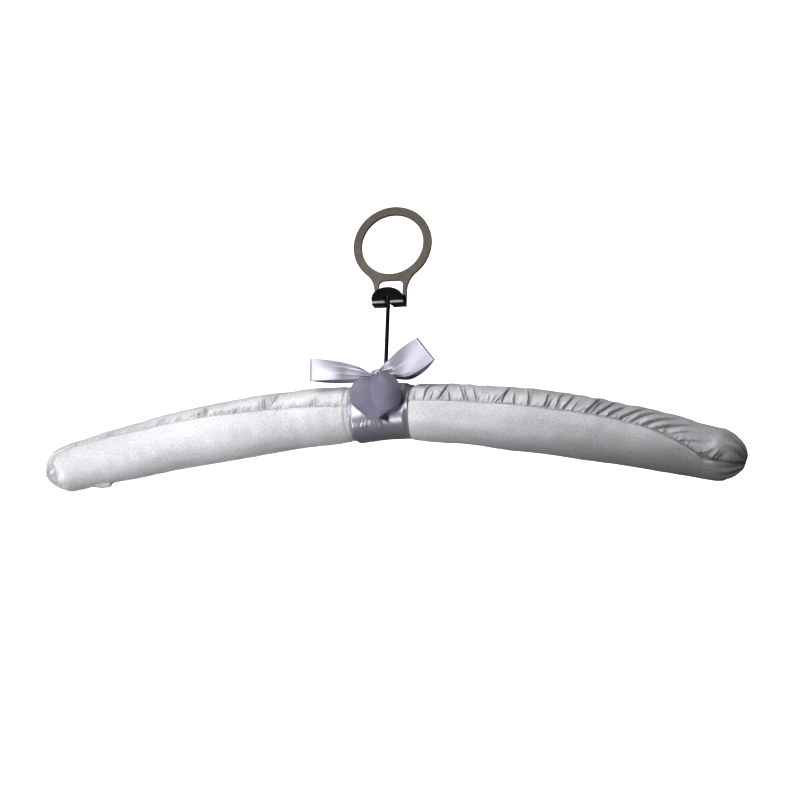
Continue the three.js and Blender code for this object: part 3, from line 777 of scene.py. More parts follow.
class SleeveGrid:
    """A grid over one arm whose lines follow the seams.

    Columns go round from the back seam over the crest to the front seam, down the front panel to
    the seam underneath, and up the back panel. Rows go from the root to the panels' ends, and on
    round the tip.
    """

    def __init__(self, side, rows, tip_rows, strip, front, back):
        self.side = side
        self.rows = rows
        self.counts = (strip, front, back)
        self.seams = (0, strip, strip + front)
        self.group = np.repeat([0, 1, 2], self.counts)
        self.share = np.concatenate([np.arange(n) / n for n in self.counts])
        corner_end = PANEL_END - PANEL_CORNER
        panel_end = {1: RIGHT_FRONT_PANEL_END if side > 0 else PANEL_END, 2: PANEL_END}
        ends = np.full(len(self.share), corner_end)
        for group, reach in panel_end.items():
            here = self.group == group
            corner = (2.0 * self.share[here] - 1.0) ** 4
            ends[here] = reach + (corner_end - reach) * corner
        self.ends = ends
        row = np.arange(rows + 1)[:, None] / rows
        body = SLEEVE_START + (ends[None] - SLEEVE_START) * row
        first = np.arcsin((ends - TIP_START) / (1.0 - TIP_START))
        step = (np.arange(tip_rows) + 1.0)[:, None] / tip_rows
        turn = first[None] + (math.pi / 2 - first[None]) * step
        tip = TIP_START + (1.0 - TIP_START) * np.sin(turn)
        self.t = np.concatenate([body, tip])
        low = np.select(
            [self.group == 0, self.group == 1], [BACK_SEAM_DEG, front_seam(side, self.t)], UNDER_SEAM_DEG
        )
        high = np.select(
            [self.group == 0, self.group == 1],
            [front_seam(side, self.t), UNDER_SEAM_DEG],
            BACK_SEAM_DEG + 360.0,
        )
        self.degrees = low + (high - low) * self.share[None]

    def points(self, offset):
        return arm_points(self.side, self.t, self.degrees, offset)

    def along(self):
        """Distance from the hanger's middle along the arm, in mm."""
        return self.t * HALF_SPAN

    def reach(self, degrees):
        """Distance round the arm from a line at those degrees, in mm, positive beyond it."""
        turn = (self.degrees - degrees + 180.0) % 360.0 - 180.0
        return np.radians(turn) * arm_radius(self.t, 0.0)

    def sample(self, coarse, values):
        """Values on a coarser grid of the same arm, brought smoothly onto this one."""
        body = np.arange(self.rows + 1) / self.rows * coarse.rows
        tip_rows = len(self.t) - self.rows - 1
        coarse_tip = len(coarse.t) - coarse.rows - 1
        tip = coarse.rows + (np.arange(tip_rows) + 1.0) / tip_rows * coarse_tip
        at_row = np.concatenate([body, tip])
        starts = np.array(coarse.seams)[self.group]
        at_column = starts + self.share * np.array(coarse.counts)[self.group]
        return resample(values, at_row, at_column)


def resample(values, at_row, at_column):
    """Smooth interpolation of a grid that closes on itself across its columns."""
    rows, columns = values.shape

    def weights(f):
        return np.stack(
            [
                (-f + 2 * f**2 - f**3) / 2,
                (2 - 5 * f**2 + 3 * f**3) / 2,
                (f + 4 * f**2 - 3 * f**3) / 2,
                (f**3 - f**2) / 2,
            ]
        )

    i = np.floor(at_row).astype(int)
    j = np.floor(at_column).astype(int)
    wi, wj = weights(at_row - i), weights(at_column - j)
    across = sum(wj[k][None] * values[:, (j + k - 1) % columns] for k in range(4))
    return sum(wi[k][:, None] * across[np.clip(i + k - 1, 0, rows - 1)] for k in range(4))


def grid_faces(rows, columns):
    """Faces of a grid that closes across its columns."""
    faces = []
    for i in range(rows - 1):
        for j in range(columns):
            k = (j + 1) % columns
            a = i * columns
            b = a + columns
            faces.append([a + j, a + k, b + k, b + j])
    return faces


def simulate_stuffing(side, grid):
    """How far, in mm, stuffing pushes the cover out between its sewn lines. A cloth simulation."""
    points, outward = grid.points(-1.3)
    rows, columns = points.shape[:2]
    name = f"stuffing_{SIDE_WORD[side]}"
    piece = mesh_piece(name, points.reshape(-1, 3), grid_faces(rows, columns), [])
    pins = piece.vertex_groups.new(name="sewn")
    held = [i * columns + j for i in range(rows) for j in grid.seams]
    held += list(range(columns))
    held += list(range((rows - 1) * columns, rows * columns))
    pins.add(held, 1.0, "REPLACE")
    cloth = piece.modifiers.new("cloth", "CLOTH")
    cloth.settings.quality = 6
    cloth.settings.mass = 0.2
    cloth.settings.tension_stiffness = 12.0
    cloth.settings.compression_stiffness = 12.0
    cloth.settings.shear_stiffness = 6.0
    cloth.settings.bending_stiffness = 0.4
    cloth.settings.vertex_group_mass = "sewn"
    cloth.settings.use_pressure = True
    cloth.settings.uniform_pressure_force = STUFFING_PRESSURE
    cloth.settings.effector_weights.gravity = 0.0
    cloth.collision_settings.use_collision = False
    scene = bpy.context.scene
    for number in range(1, SETTLING_FRAMES + 1):
        scene.frame_set(number)
    graph = bpy.context.evaluated_depsgraph_get()
    evaluated = piece.evaluated_get(graph)
    swollen = np.array([v.co for v in evaluated.data.vertices], float).reshape(points.shape) / MM
    scene.frame_set(1)
    mesh = piece.data
    bpy.data.objects.remove(piece)
    bpy.data.meshes.remove(mesh)
    pushed = np.sum((swollen - points) * outward, axis=2)
    return np.clip(pushed, 0.0, LARGEST_SWELL)


def gathers(along, depth, folds):
    """Gathers that start at a seam, where depth is the distance from it: a thin pinched ridge
    with a hollow beyond it. Returns their height in mm and the painted shade of their valleys and
    hollows."""
    height = np.zeros(along.shape)
    shade = np.zeros(along.shape)
    for start, lean, length, rise in folds:
        reach = depth / length
        x = along - start - lean * depth * (1.0 - 0.15 * reach) - 0.35 * np.sin(0.45 * depth + start)
        x = x / (0.8 + 0.8 * np.clip(reach, 0.0, 1.0))
        grow = smoothstep(-0.02, 0.08, reach) * (1.0 - smoothstep(0.3, 1.0, reach)) * (depth > 0)
        ridge = bump(x, 0.0, GATHER_WIDTH)
        valley = bump(x, 1.7 * GATHER_WIDTH, 0.75 * GATHER_WIDTH)
        hollow = bump(x, 5.0 * GATHER_WIDTH, 3.0 * GATHER_WIDTH)
        height += rise * grow * (0.9 * ridge - 0.8 * valley - 0.4 * hollow)
        shade = np.maximum(shade, rise * grow * (1.1 * valley + 0.25 * hollow - 0.5 * ridge))
    return height, shade


# Gathers along a seam: distance from the hanger's middle, lean, length and height, in mm
LEFT_GATHERS = (
    (36.5, -0.5, 7.0, 0.5), (38.6, -0.5, 9.0, 0.7), (41.0, -0.4, 6.0, 0.4), (50.0, -0.4, 5.0, 0.35),
    (64.5, -0.5, 18.0, 1.0), (67.3, -0.1, 14.0, 0.9), (70.0, -0.5, 7.0, 0.5), (76.0, -0.4, 5.0, 0.4),
    (82.9, -0.4, 8.0, 0.6), (84.8, -0.4, 6.0, 0.5), (92.0, -0.3, 5.0, 0.5), (96.0, -0.3, 4.0, 0.4),
    (101.0, -0.2, 9.0, 0.8), (103.5, -0.3, 12.0, 0.9), (106.0, -0.4, 8.0, 0.7),
    (118.0, -0.5, 6.0, 0.5), (127.0, -0.6, 9.0, 0.7), (129.5, -0.6, 9.0, 0.7),
    (136.8, -0.8, 10.0, 0.8), (145.7, -0.8, 9.0, 0.7), (157.0, -0.8, 8.0, 0.6),
    (160.0, -0.9, 8.0, 0.6), (170.0, -0.8, 6.0, 0.5), (178.0, -0.6, 6.0, 0.6),
)
RIGHT_GATHERS = (
    (20.5, 0.0, 9.0, 0.5), (26.0, 0.12, 21.0, 0.9), (31.0, -0.1, 8.0, 0.5), (35.5, 0.18, 21.0, 1.0),
    (38.2, -0.6, 9.0, 0.6), (42.5, -0.5, 9.0, 0.8), (50.3, -0.45, 17.0, 0.9), (52.2, -0.4, 14.0, 0.8),
    (57.0, -0.35, 13.0, 0.8), (63.5, 0.0, 7.0, 0.5), (66.3, 0.3, 8.0, 0.6), (68.0, 0.5, 14.0, 0.9),
    (71.8, 0.05, 20.0, 0.9), (79.0, -0.3, 9.0, 0.8), (86.8, -0.3, 16.0, 1.0), (94.8, 0.1, 14.0, 0.8),
    (96.5, 0.3, 9.0, 0.6), (101.0, 0.1, 19.0, 0.9), (105.4, 0.25, 18.0, 1.1), (111.0, 0.1, 9.0, 0.6),
    (117.6, 0.3, 21.0, 1.3), (119.8, 0.35, 18.0, 0.9), (123.4, 0.5, 19.0, 1.3),
    (128.9, 0.65, 14.0, 1.1), (134.7, 0.85, 18.0, 1.4), (140.0, 1.0, 17.0, 1.4),
    (146.3, 1.15, 18.0, 1.5), (151.9, 1.35, 19.0, 1.5), (158.5, 1.5, 16.0, 0.8), (166.0, 1.6, 13.0, 0.7),
    (176.0, 1.4, 9.0, 0.7), (183.5, 0.7, 8.0, 1.0), (186.5, 0.4, 7.0, 0.9),
)


def even_gathers(seed, start, end, spacing, lean, length, rise):
    """Gathers from start to end along a seam, a little uneven."""
    random = np.random.RandomState(seed)
    folds = []
    at = start
    while at < end:
        size = random.uniform(0.6, 1.25)
        folds.append((at, lean * random.uniform(0.4, 1.6), length * size, rise * size))
        at += spacing * random.uniform(0.65, 1.4)
    return tuple(folds)


BACK_GATHERS = even_gathers(21, 24.0, 184.0, 5.6, 0.35, 18.0, 0.95)


def sleeve_relief(side, grid):
    """The cover's fine shape in mm: gathers, sewn valleys, pulls and the gathered tip.
    Also the painted shade that darkens its creases, seams and tip, from 0 to 1."""
    along = grid.along()
    ahead = grid.reach(front_seam(side, grid.t))
    behind = grid.reach(BACK_SEAM_DEG)
    under = grid.reach(UNDER_SEAM_DEG)
    strip = grid.group[None] == 0
    body = 1.0 - smoothstep(0.955, 0.985, grid.t)
    front_folds = LEFT_GATHERS if side < 0 else RIGHT_GATHERS
    front_folds += even_gathers(51 + side, 18.0, 182.0, 3.4, 0.5 * side, 5.0, 0.4)
    height, fold_shade = gathers(along, np.where(strip, -ahead, -1.0), front_folds)
    # The painted shade of the gathers is stronger on the left arm.
    fold_shade = fold_shade * (1.7 if side < 0 else 1.15)
    back_height, back_gather_shade = gathers(along, np.where(strip, behind, -1.0), BACK_GATHERS)
    height = (height + back_height) * body
    fold_shade = np.maximum(fold_shade, back_gather_shade) * body
    puffs = wave_noise(29 + side, along, 0.25 * ahead, 5.0)
    height += np.where(strip, (0.12 if side < 0 else 0.22) * puffs, 0.0)
    height += 0.22 * wave_noise(31 + side, along, ahead, 16.0)
    height += 0.07 * wave_noise(37 + side, along, ahead, 5.0)
    pulls = wave_noise(41 + side, along, 0.25 * ahead, 2.2)
    height += 0.13 * pulls * np.exp(-np.abs(ahead) / 2.5)
    # Sunk seams with a little ridge beside them, and painted shade along each seam line.
    for distance, depth in ((ahead, 0.3), (behind, 0.5), (under, 0.5)):
        height += 0.12 * bump(np.abs(distance), 1.8, 1.0) - depth * bump(distance, 0.0, 0.55)
        fold_shade = np.maximum(fold_shade, 0.18 * bump(distance, 0.0, 0.4))
    height, fold_shade = add_panel_ends(side, grid, height, fold_shade)
    return add_tip(side, grid, ahead, under, height, fold_shade)


def add_panel_ends(side, grid, height, fold_shade):
    """The sewn line round a panel's rounded end, with the gathered end of the strip behind it, both
    darkened with painted shade.
    """
    past = (grid.t - grid.ends[None]) * HALF_SPAN
    panel = grid.group[None] > 0
    ends = panel & ((side < 0) | (grid.group[None] == 2))
    line = np.where(ends, bump(past, 0.0, 0.7), 0.0)
    sunk = np.where(ends, smoothstep(0.0, 1.5, past), 0.0)
    height = height - 0.7 * line - 0.5 * sunk * (1.0 - smoothstep(0.985, 1.0, grid.t))
    # Painted shade in the sewn line and on the sunk end of the strip.
    fold_shade = np.maximum(fold_shade, np.maximum(0.6 * line, 0.45 * sunk))
    return height, fold_shade


def add_tip(side, grid, ahead, under, height, fold_shade):
    """The gathers that close the arm's tip, with painted shade between them, and what differs between
    the two tips.
    """
    tip = smoothstep(0.93, 0.985, grid.t)
    turn = np.radians(grid.degrees)
    spokes = 11 if side > 0 else 9
    star = np.cos(spokes * turn + 1.4 * np.sin(2 * turn) + 0.7 * np.sin(5 * turn)) - 0.35
    height += 0.5 * star * tip * (1.0 - 0.5 * smoothstep(0.99, 1.0, grid.t))
    # Painted shade in the hollows between the tip's gathers.
    fold_shade = np.maximum(fold_shade, 0.45 * np.clip(-star, 0, 1) * tip)
    along = grid.along()
    if side > 0:
        pinch = bump(np.hypot(along - 0.912 * HALF_SPAN, ahead), 0.0, 2.2)
        crease = bump(ahead, 0.0, 0.9) * smoothstep(0.9, 0.92, grid.t)
        swell = bump(np.hypot((along - 0.955 * HALF_SPAN) / 1.2, ahead + 7.0), 0.0, 5.5)
        height += 1.1 * swell - 1.0 * pinch - 0.9 * crease
        height -= 2.4 * smoothstep(0.993, 1.0, grid.t)
        fold_shade = np.maximum(fold_shade, np.maximum(0.6 * crease, 0.4 * pinch))
        # Painted shade: the right tip's very end is darkened fully.
        fold_shade = np.maximum(fold_shade, 1.2 * smoothstep(0.994, 1.0, grid.t))
    else:
        window = smoothstep(162.0, 165.0, along) * (1.0 - smoothstep(166.0, 179.0, along))
        height += 3.2 * bump(under, 0.0, 1.3) * window
    return height, np.clip(fold_shade, 0.0, 1.0)


def root_hem(side, grid):
    """How far out of the arm, in mm, the sleeve's open end stands, and the painted shade on it. It
    turns in, and the left one shows its hem."""
    out = grid.along() - SLEEVE_START * HALF_SPAN
    if side > 0:
        # Painted shade: the right end darkens where it turns in towards the band, and the left hem along
        # its width.
        return -1.3 * (1.0 - smoothstep(0.0, 3.4, out)) ** 2, 0.3 * (1.0 - smoothstep(0.0, 1.5, out))
    hem = 1.0 - smoothstep(3.2, 4.2, out)
    turned_in = -0.5 * (1.0 - smoothstep(0.0, 1.4, out)) - 0.35 * hem
    return turned_in - 0.1 * bump(out, 4.0, 0.5), 0.2 * hem


def sleeve_pieces(side, swell):
    """The three satin pieces of one sleeve, which meet along the seams."""
    coarse, pushed = swell
    grid = SleeveGrid(side, 520, 34, 60, 28, 22)
    relief, fold_shade = sleeve_relief(side, grid)
    hem, hem_shade = root_hem(side, grid)
    puff = grid.sample(coarse, pushed)
    points, outward = grid.points(-CLOTH_INSET)
    points = points + outward * (puff + relief + hem)[..., None]
    points[-1] = points[-1].mean(axis=0)
    fold_shade = np.maximum(fold_shade, hem_shade)
    rows, columns = points.shape[:2]
    around = np.concatenate([grid.degrees, grid.degrees[:, :1] + 360.0], axis=1)
    over = np.radians(around) * GIRTH_RADIUS
    along = grid.along()
    made = {}
    for key, group in (("ruched_strip", 0), ("front_panel", 1), ("back_panel", 2)):
        faces = []
        uv = []
        for i in range(rows - 1):
            for j in range(columns):
                owner = grid.group[j] if i < grid.rows else 0
                if owner != group:
                    continue
                k = (j + 1) % columns
                corners = [(i, j, j), (i, k, j + 1), (i + 1, k, j + 1), (i + 1, j, j)]
                if i == rows - 2:
                    corners = [(i, j, j), (i, k, j + 1), (i + 1, 0, j)]
                if side < 0:
                    corners = corners[::-1]
                faces.append([a * columns + b for a, b, _ in corners])
                uv.append([(along[a, b], over[a, c]) for a, b, c in corners])
        name = f"{SIDE_WORD[side]}_{key}_satin"
        # The painted shade rides on the mesh as an attribute that the satin reads.
        values = {"fold_shade": fold_shade.reshape(-1)}
        piece = mesh_piece(name, points.reshape(-1, 3), faces, [COVER], uv, values)
        made[key] = thicken(piece, CLOTH_THICKNESS)
    return made, grid, points


def wadding_piece(side, swell):
    """The stuffing: a swollen tube round the wooden core, closed beyond the core's end."""
    grid, pushed = swell
    outer, outward = grid.points(-WADDING_INSET)
    lumps = 0.35 * wave_noise(61 + side, grid.along(), grid.reach(0.0), 9.0)
    outer = outer + outward * (0.8 * pushed + lumps)[..., None]
    columns = outer.shape[1]
    first, _ = arm_points(side, np.full(columns, WADDING_START), grid.degrees[0], -2.0)
    outer = np.concatenate([first[None], outer])
    outer[-1] = outer[-1].mean(axis=0)
    t = np.linspace(WADDING_START, CORE_END + 0.004, 30)[:, None] + np.zeros((1, columns))
    centre, _, up, front = arm_frame(side, t)
    turn = np.radians(grid.degrees[0])[None, :, None]
    scale = (1.0 - CORE_TAPER * t)[..., None]
    across = np.sign(np.sin(turn)) * np.abs(np.sin(turn)) ** 0.6
    upward = np.sign(np.cos(turn)) * np.abs(np.cos(turn)) ** 0.6
    inner = centre + up * (CORE_HALF_HEIGHT * scale + 0.4) * upward
    inner = inner + front * (CORE_HALF_DEPTH * scale + 0.4) * across
    core_end = np.broadcast_to(inner[-1].mean(axis=0), inner[-1:].shape)
    points = np.concatenate([core_end, inner[::-1], outer])
    faces = grid_faces(len(points), columns)
    name = f"{SIDE_WORD[side]}_wadding"
    return weld(mesh_piece(name, points.reshape(-1, 3), faces, [WADDING]))


def stitching(side, grid, points):
    """Short sewn stitches along the front and back seams, a little sunk into the satin."""
    _, outward = grid.points(0.0)
    seam_margin = 3.0
    all_points = []
    faces = []
    for beside_seam, seam in ((grid.seams[1] - 1, grid.seams[1]), (grid.seams[0] + 1, grid.seams[0])):
        line = points[: grid.rows, beside_seam]
        normal = outward[: grid.rows, seam]
        gone = gone_along(line, 0)
        for at in np.arange(seam_margin, gone[-1] - seam_margin, STITCH_PITCH):
            base = len(all_points)
            all_points += stitch_points(line, normal, gone, at)
            rings = grid_faces(STITCH_RINGS, THREAD_SIDES)
            faces += [[base + corner for corner in face] for face in rings]
            faces.append([base + k for k in range(THREAD_SIDES)][::-1])
            faces.append([len(all_points) - THREAD_SIDES + k for k in range(THREAD_SIDES)])
    return mesh_piece(f"{SIDE_WORD[side]}_stitching", np.array(all_points), faces, [THREAD])


def stitch_points(line, normal, gone, at):
    """Rings of points round one stitch that starts at that distance along the line."""

    def along_line(values, distance):
        return np.array([np.interp(distance, gone, values[:, k]) for k in range(3)])

    points = []
    for step in np.linspace(0.0, 1.0, STITCH_RINGS):
        here = at + STITCH_LENGTH * step
        middle = along_line(line, here)
        out = along_line(normal, here)
        out /= np.linalg.norm(out)
        way = along_line(line, here + 0.5) - middle
        way /= np.linalg.norm(way)
        beside = np.cross(way, out)
        lift = 0.22 * math.sin(math.pi * step) - 0.1
        size = THREAD_RADIUS * (0.35 + 0.65 * math.sin(math.pi * step) ** 0.5)
        for a in np.linspace(0, 2 * math.pi, THREAD_SIDES, endpoint=False):
            points.append(middle + out * (lift + size * math.sin(a)) + beside * size * math.cos(a))
    return points


# ---- Ribbon ----


# Pulls in the band: x and degrees where each starts and where it ends, and its height in mm
WRAP_PULLS = (
    (-6.0, 106.0, -10.0, 142.0, 0.1),
    (-4.5, 106.0, -8.0, 146.0, 0.12),
    (-3.0, 106.0, -5.5, 148.0, 0.1),
    (1.5, 84.0, 4.0, 104.0, 0.3),
    (9.0, 44.0, 15.5, 62.0, 0.6),
)


def ribbon_wrap():
    """The band of ribbon round the middle, with pulls that run down from the bow and painted shade
    in the grooves beside them. Its section is a little square, and its edges are tucked under the
    sleeves."""
    x = np.linspace(-WRAP_HALF_WIDTH, WRAP_HALF_WIDTH, 64)[:, None]
    degrees = np.linspace(0.0, 360.0, 150, endpoint=False)[None]
    turn = np.radians(degrees)
    t = np.abs(x) / HALF_SPAN
    centre_y = PIN_Y - FORWARD_CURVE * t**2
    soft = np.sqrt(x**2 + 9.0) / HALF_SPAN
    centre_z = ARM_Z - DROOP_SLOPE * soft - DROOP_CURVE * t**2
    around = np.radians(degrees) * WRAP_RADIUS
    power = WRAP_SQUARENESS
    square = (np.abs(np.sin(turn)) ** power + np.abs(np.cos(turn)) ** power) ** (-1.0 / power)
    tucked = smoothstep(14.5, 17.0, np.abs(x))
    radius = WRAP_RADIUS * (square + (0.985 - square) * tucked)
    radius = radius + 0.05 * wave_noise(71, x, around, 9.0)
    radius = radius - 0.07 * x * (1.0 - tucked) * smoothstep(0.2, 0.9, -np.cos(turn))
    fold_shade = np.zeros(radius.shape)
    for x0, a0, x1, a1, rise in WRAP_PULLS:
        p0 = np.array([x0, math.radians(a0) * WRAP_RADIUS])
        p1 = np.array([x1, math.radians(a1) * WRAP_RADIUS])
        way = p1 - p0
        long = np.linalg.norm(way)
        way /= long
        ahead = ((x - p0[0]) * way[0] + (around - p0[1]) * way[1]) / long
        beside = (x - p0[0]) * -way[1] + (around - p0[1]) * way[0]
        grow = smoothstep(-0.1, 0.25, ahead) * (1.0 - smoothstep(0.6, 1.05, ahead))
        groove = bump(beside, 1.5, 0.6)
        radius += rise * grow * (bump(beside, 0.0, 1.0) - 0.8 * groove)
        # Painted shade in the groove beside each pull.
        fold_shade = np.maximum(fold_shade, 0.5 * grow * groove)
    points = np.stack(
        [x + 0.0 * turn, centre_y - radius * np.sin(turn), centre_z + radius * np.cos(turn)], axis=2
    )
    piece = sheet_piece("middle_band", points, [RIBBON_WOUND], {"fold_shade": fold_shade}, closed=True)
    return thicken(piece, RIBBON_THICKNESS)


def ribbon_loop(name, side, top, bottom, depth, seed):
    """A loop of ribbon between two edge curves that run from the knot to the pressed outer crease.
    The front layer goes out and the back layer comes back behind it, with painted shade in its pleats."""
    u = np.linspace(-1.0, 1.0, 121)[:, None]
    v = np.linspace(0.0, 1.0, 33)[None]
    share = 1.0 - np.abs(u)
    a = spline(top, share[:, 0])[:, None]
    b = spline(bottom, share[:, 0])[:, None]
    points = a + (b - a) * v[..., None]
    width = np.linalg.norm(b - a, axis=2)
    out = 38.0 * share
    open_up = np.sin(0.5 * math.pi * np.clip((1.0 - share) / 0.4, 0.0, 1.0)) * (0.45 + 0.55 * share)
    back = np.where(u > 0, depth * open_up, -0.15 * depth * open_up)
    pleat = (1.0 - smoothstep(0.1, 0.8, share)) * np.sin(math.pi * np.clip(v, 0.02, 0.98)) ** 0.5
    waves = np.sin(2 * math.pi * 2.3 * v + seed) + 0.5 * np.sin(2 * math.pi * 4.9 * v + 2 * seed)
    dish = 0.5 * np.sin(math.pi * v) * np.sin(math.pi * share)
    ripple = 0.14 * wave_noise(seed, out + 0.0 * v, width * v, 8.0)
    deep = back + 0.6 * pleat * waves + np.where(u > 0, 1.0, -1.0) * dish + ripple
    points[..., 1] += deep
    # Painted shade in the pleats near the knot.
    fold_shade = np.clip(0.4 * pleat * np.clip(waves, 0, 1), 0, 1)
    if side > 0:
        points, fold_shade = points[:, ::-1], fold_shade[:, ::-1]
    piece = sheet_piece(name, points, [RIBBON_BACK, RIBBON], {"fold_shade": fold_shade})
    return thicken(piece, RIBBON_THICKNESS, 0.0, 1)


LEFT_LOOP_EDGES = (
    [(-2.0, -16.5, -86.0), (-6.1, -16.0, -85.4), (-12.2, -16.5, -81.9), (-18.6, -17.3, -79.9),
     (-24.8, -18.2, -78.5), (-33.1, -19.5, -77.3), (-40.7, -21.0, -76.7)],
    [(-2.0, -16.5, -87.5), (-7.3, -16.0, -88.6), (-15.2, -17.0, -89.2), (-19.2, -17.6, -89.5),
     (-23.3, -18.2, -89.7), (-31.8, -19.5, -90.0), (-40.3, -21.0, -90.1)],
)
RIGHT_LOOP_EDGES = (
    [(-2.0, -16.5, -85.6), (-0.8, -16.5, -84.3), (1.3, -16.5, -81.6), (4.9, -17.0, -78.3),
     (12.3, -18.5, -72.2), (22.0, -20.5, -66.7)],
    [(-1.0, -16.5, -87.2), (2.8, -16.5, -86.5), (8.5, -16.6, -88.2), (16.5, -17.5, -88.9),
     (25.6, -19.0, -85.2), (32.6, -20.5, -80.5)],
)


def ribbon_tail(name, left, right, crown, seed):
    """A tail between two edge curves. It swells forward between them and is dull side out."""
    u = np.linspace(0.0, 1.0, 57)
    v = np.linspace(0.0, 1.0, 33)[None, :, None]
    a = spline(left, u)[:, None]
    b = spline(right, u)[:, None]
    points = a + (b - a) * v
    width = np.linalg.norm(b - a, axis=2)
    arch = (1.0 - (2.0 * v[..., 0] - 1.0) ** 2) ** 0.75
    rise = crown * arch * np.sin(math.pi * np.clip(u[:, None] * 0.86 + 0.1, 0, 1)) ** 0.8
    waves = 0.25 * wave_noise(seed, width * v[..., 0], 30.0 * u[:, None], 6.0)
    near_knot = 1.0 - smoothstep(0.0, 0.35, u[:, None])
    pleats = 0.5 * near_knot * np.sin(2 * math.pi * 2.5 * v[..., 0] + seed)
    points = points - np.array([0.0, 1.0, 0.0]) * (rise + waves + pleats)[..., None]
    piece = sheet_piece(name, points, [RIBBON, RIBBON_BACK])
    return thicken(piece, RIBBON_THICKNESS, 0.0, 1)


LEFT_TAIL_EDGES = (
    [(-4.7, -17.0, -87.6), (-12.6, -20.0, -90.2), (-15.6, -22.0, -96.3), (-14.2, -23.5, -104.9),
     (-6.5, -24.0, -111.7), (4.2, -23.0, -120.4)],
    [(-1.0, -17.5, -86.5), (2.0, -20.5, -93.0), (3.6, -22.5, -99.5), (4.5, -23.5, -105.5),
     (4.8, -23.8, -109.0), (4.6, -23.5, -112.1)],
)
RIGHT_TAIL_EDGES = (
    [(-1.5, -18.0, -86.6), (-4.3, -23.0, -94.1), (-2.9, -24.8, -99.5), (-1.0, -25.6, -105.1),
     (0.7, -25.8, -110.6), (2.1, -25.8, -115.0)],
    [(1.0, -18.0, -84.9), (8.7, -21.0, -88.9), (13.8, -23.4, -95.9), (15.2, -24.4, -102.7),
     (13.2, -24.8, -107.7), (7.8, -25.6, -111.3)],
)


def knot_body():
    """The knot itself, a small pleated cushion of ribbon."""
    rows = np.linspace(0.0, math.pi, 37)[:, None]
    turn = np.linspace(0.0, 2 * math.pi, 60, endpoint=False)[None]
    pleats = 1.0 + 0.07 * np.sin(9 * turn + 1.5 * np.sin(3 * rows)) * np.sin(rows)
    points = np.stack(
        [
            KNOT_CENTRE[0] + 5.2 * pleats * np.cos(rows) + 0.0 * turn,
            KNOT_CENTRE[1] + 4.4 * pleats * np.sin(rows) * np.cos(turn),
            KNOT_CENTRE[2] + 3.6 * pleats * np.sin(rows) * np.sin(turn),
        ],
        axis=2,
    )
    return sheet_piece("bow_centre", points, [RIBBON], closed=True)


def knot_tie():
    """The turn of ribbon round the pin."""
    section = np.linspace(0.0, 2 * math.pi, 28, endpoint=False)[None]
    way = np.linspace(0.0, 2 * math.pi, 48, endpoint=False)[:, None]
    thick = 0.55
    tall = 2.4
    middle = PIN_RADIUS + 0.35 + thick
    spread = middle + thick * np.cos(section) * (1 + 0.1 * np.sin(5 * way))
    rise = tall * np.sign(np.sin(section)) * np.abs(np.sin(section)) ** 0.6
    points = np.stack(
        [spread * np.cos(way), PIN_Y + spread * np.sin(way), TIE_Z + rise + 0.25 * np.sin(3 * way)],
        axis=2,
    )
    return sheet_piece("tie", np.concatenate([points, points[:1]]), [RIBBON], closed=True)


def knot_strap():
    """The short length of ribbon from the tie forward to the knot."""
    u = np.linspace(0.0, 1.0, 25)[:, None]
    v = np.linspace(-1.0, 1.0, 9)[None]
    points = np.stack(
        [
            -0.6 * u + 0.0 * v,
            PIN_Y - 2.0 - 6.4 * u + 0.0 * v,
            TIE_Z - 0.8 * u + 2.2 * v + 0.15 * np.sin(9 * v + 2 * u),
        ],
        axis=2,
    )
    return thicken(sheet_piece("link", points, [RIBBON]), 0.7, 0.0)


def knot():
    """The bow's knot, with the turn of ribbon round the pin behind it, in one piece."""
    piece = knot_body()
    extras = [knot_tie(), knot_strap()]
    for extra in extras:
        join_into(piece, extra)
    return weld(piece)


def join_into(piece, extra):
    """Adds another object's finished mesh to a piece."""
    graph = bpy.context.evaluated_depsgraph_get()
    mesh = bpy.data.meshes.new_from_object(extra.evaluated_get(graph))
    work = bmesh.new()
    work.from_mesh(piece.data)
    work.from_mesh(mesh)
    work.to_mesh(piece.data)
    work.free()
    bpy.data.objects.remove(extra)
    bpy.data.meshes.remove(mesh)


# ---- The object ----


def place(piece, body, slot, *nodes):
    """A finished piece rides on its body and stands for its CAD nodes."""
    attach(piece, body)
    if nodes:
        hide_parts(*nodes)
    return piece


place(security_ring(), "ring", "ring_nickel", "security_ring")
place(pin_cradle(), "ring", "black_metal", "pin_cradle")
place(ball_pin(), "pin", "black_metal", "ball_pin")
for node, material in (("pin_washer", ZINC), ("pin_nut", ZINC), ("wood_core", WOOD)):
    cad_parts[node].data.materials.clear()
    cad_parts[node].data.materials.append(material)

for side, word in SIDE_WORD.items():
    coarse = SleeveGrid(side, 56, 8, 14, 12, 10)
    pushed = simulate_stuffing(side, coarse)
    swell = (coarse, pushed)
    stuffing = place(wadding_piece(side, swell), "arms", "wadding", f"{word}_padding")
    made, grid, points = sleeve_pieces(side, swell)
    for key, piece in made.items():
        place(piece, "arms", "cover_satin", f"{word}_{key}")
    place(stitching(side, grid, points), "arms", "cover_satin")

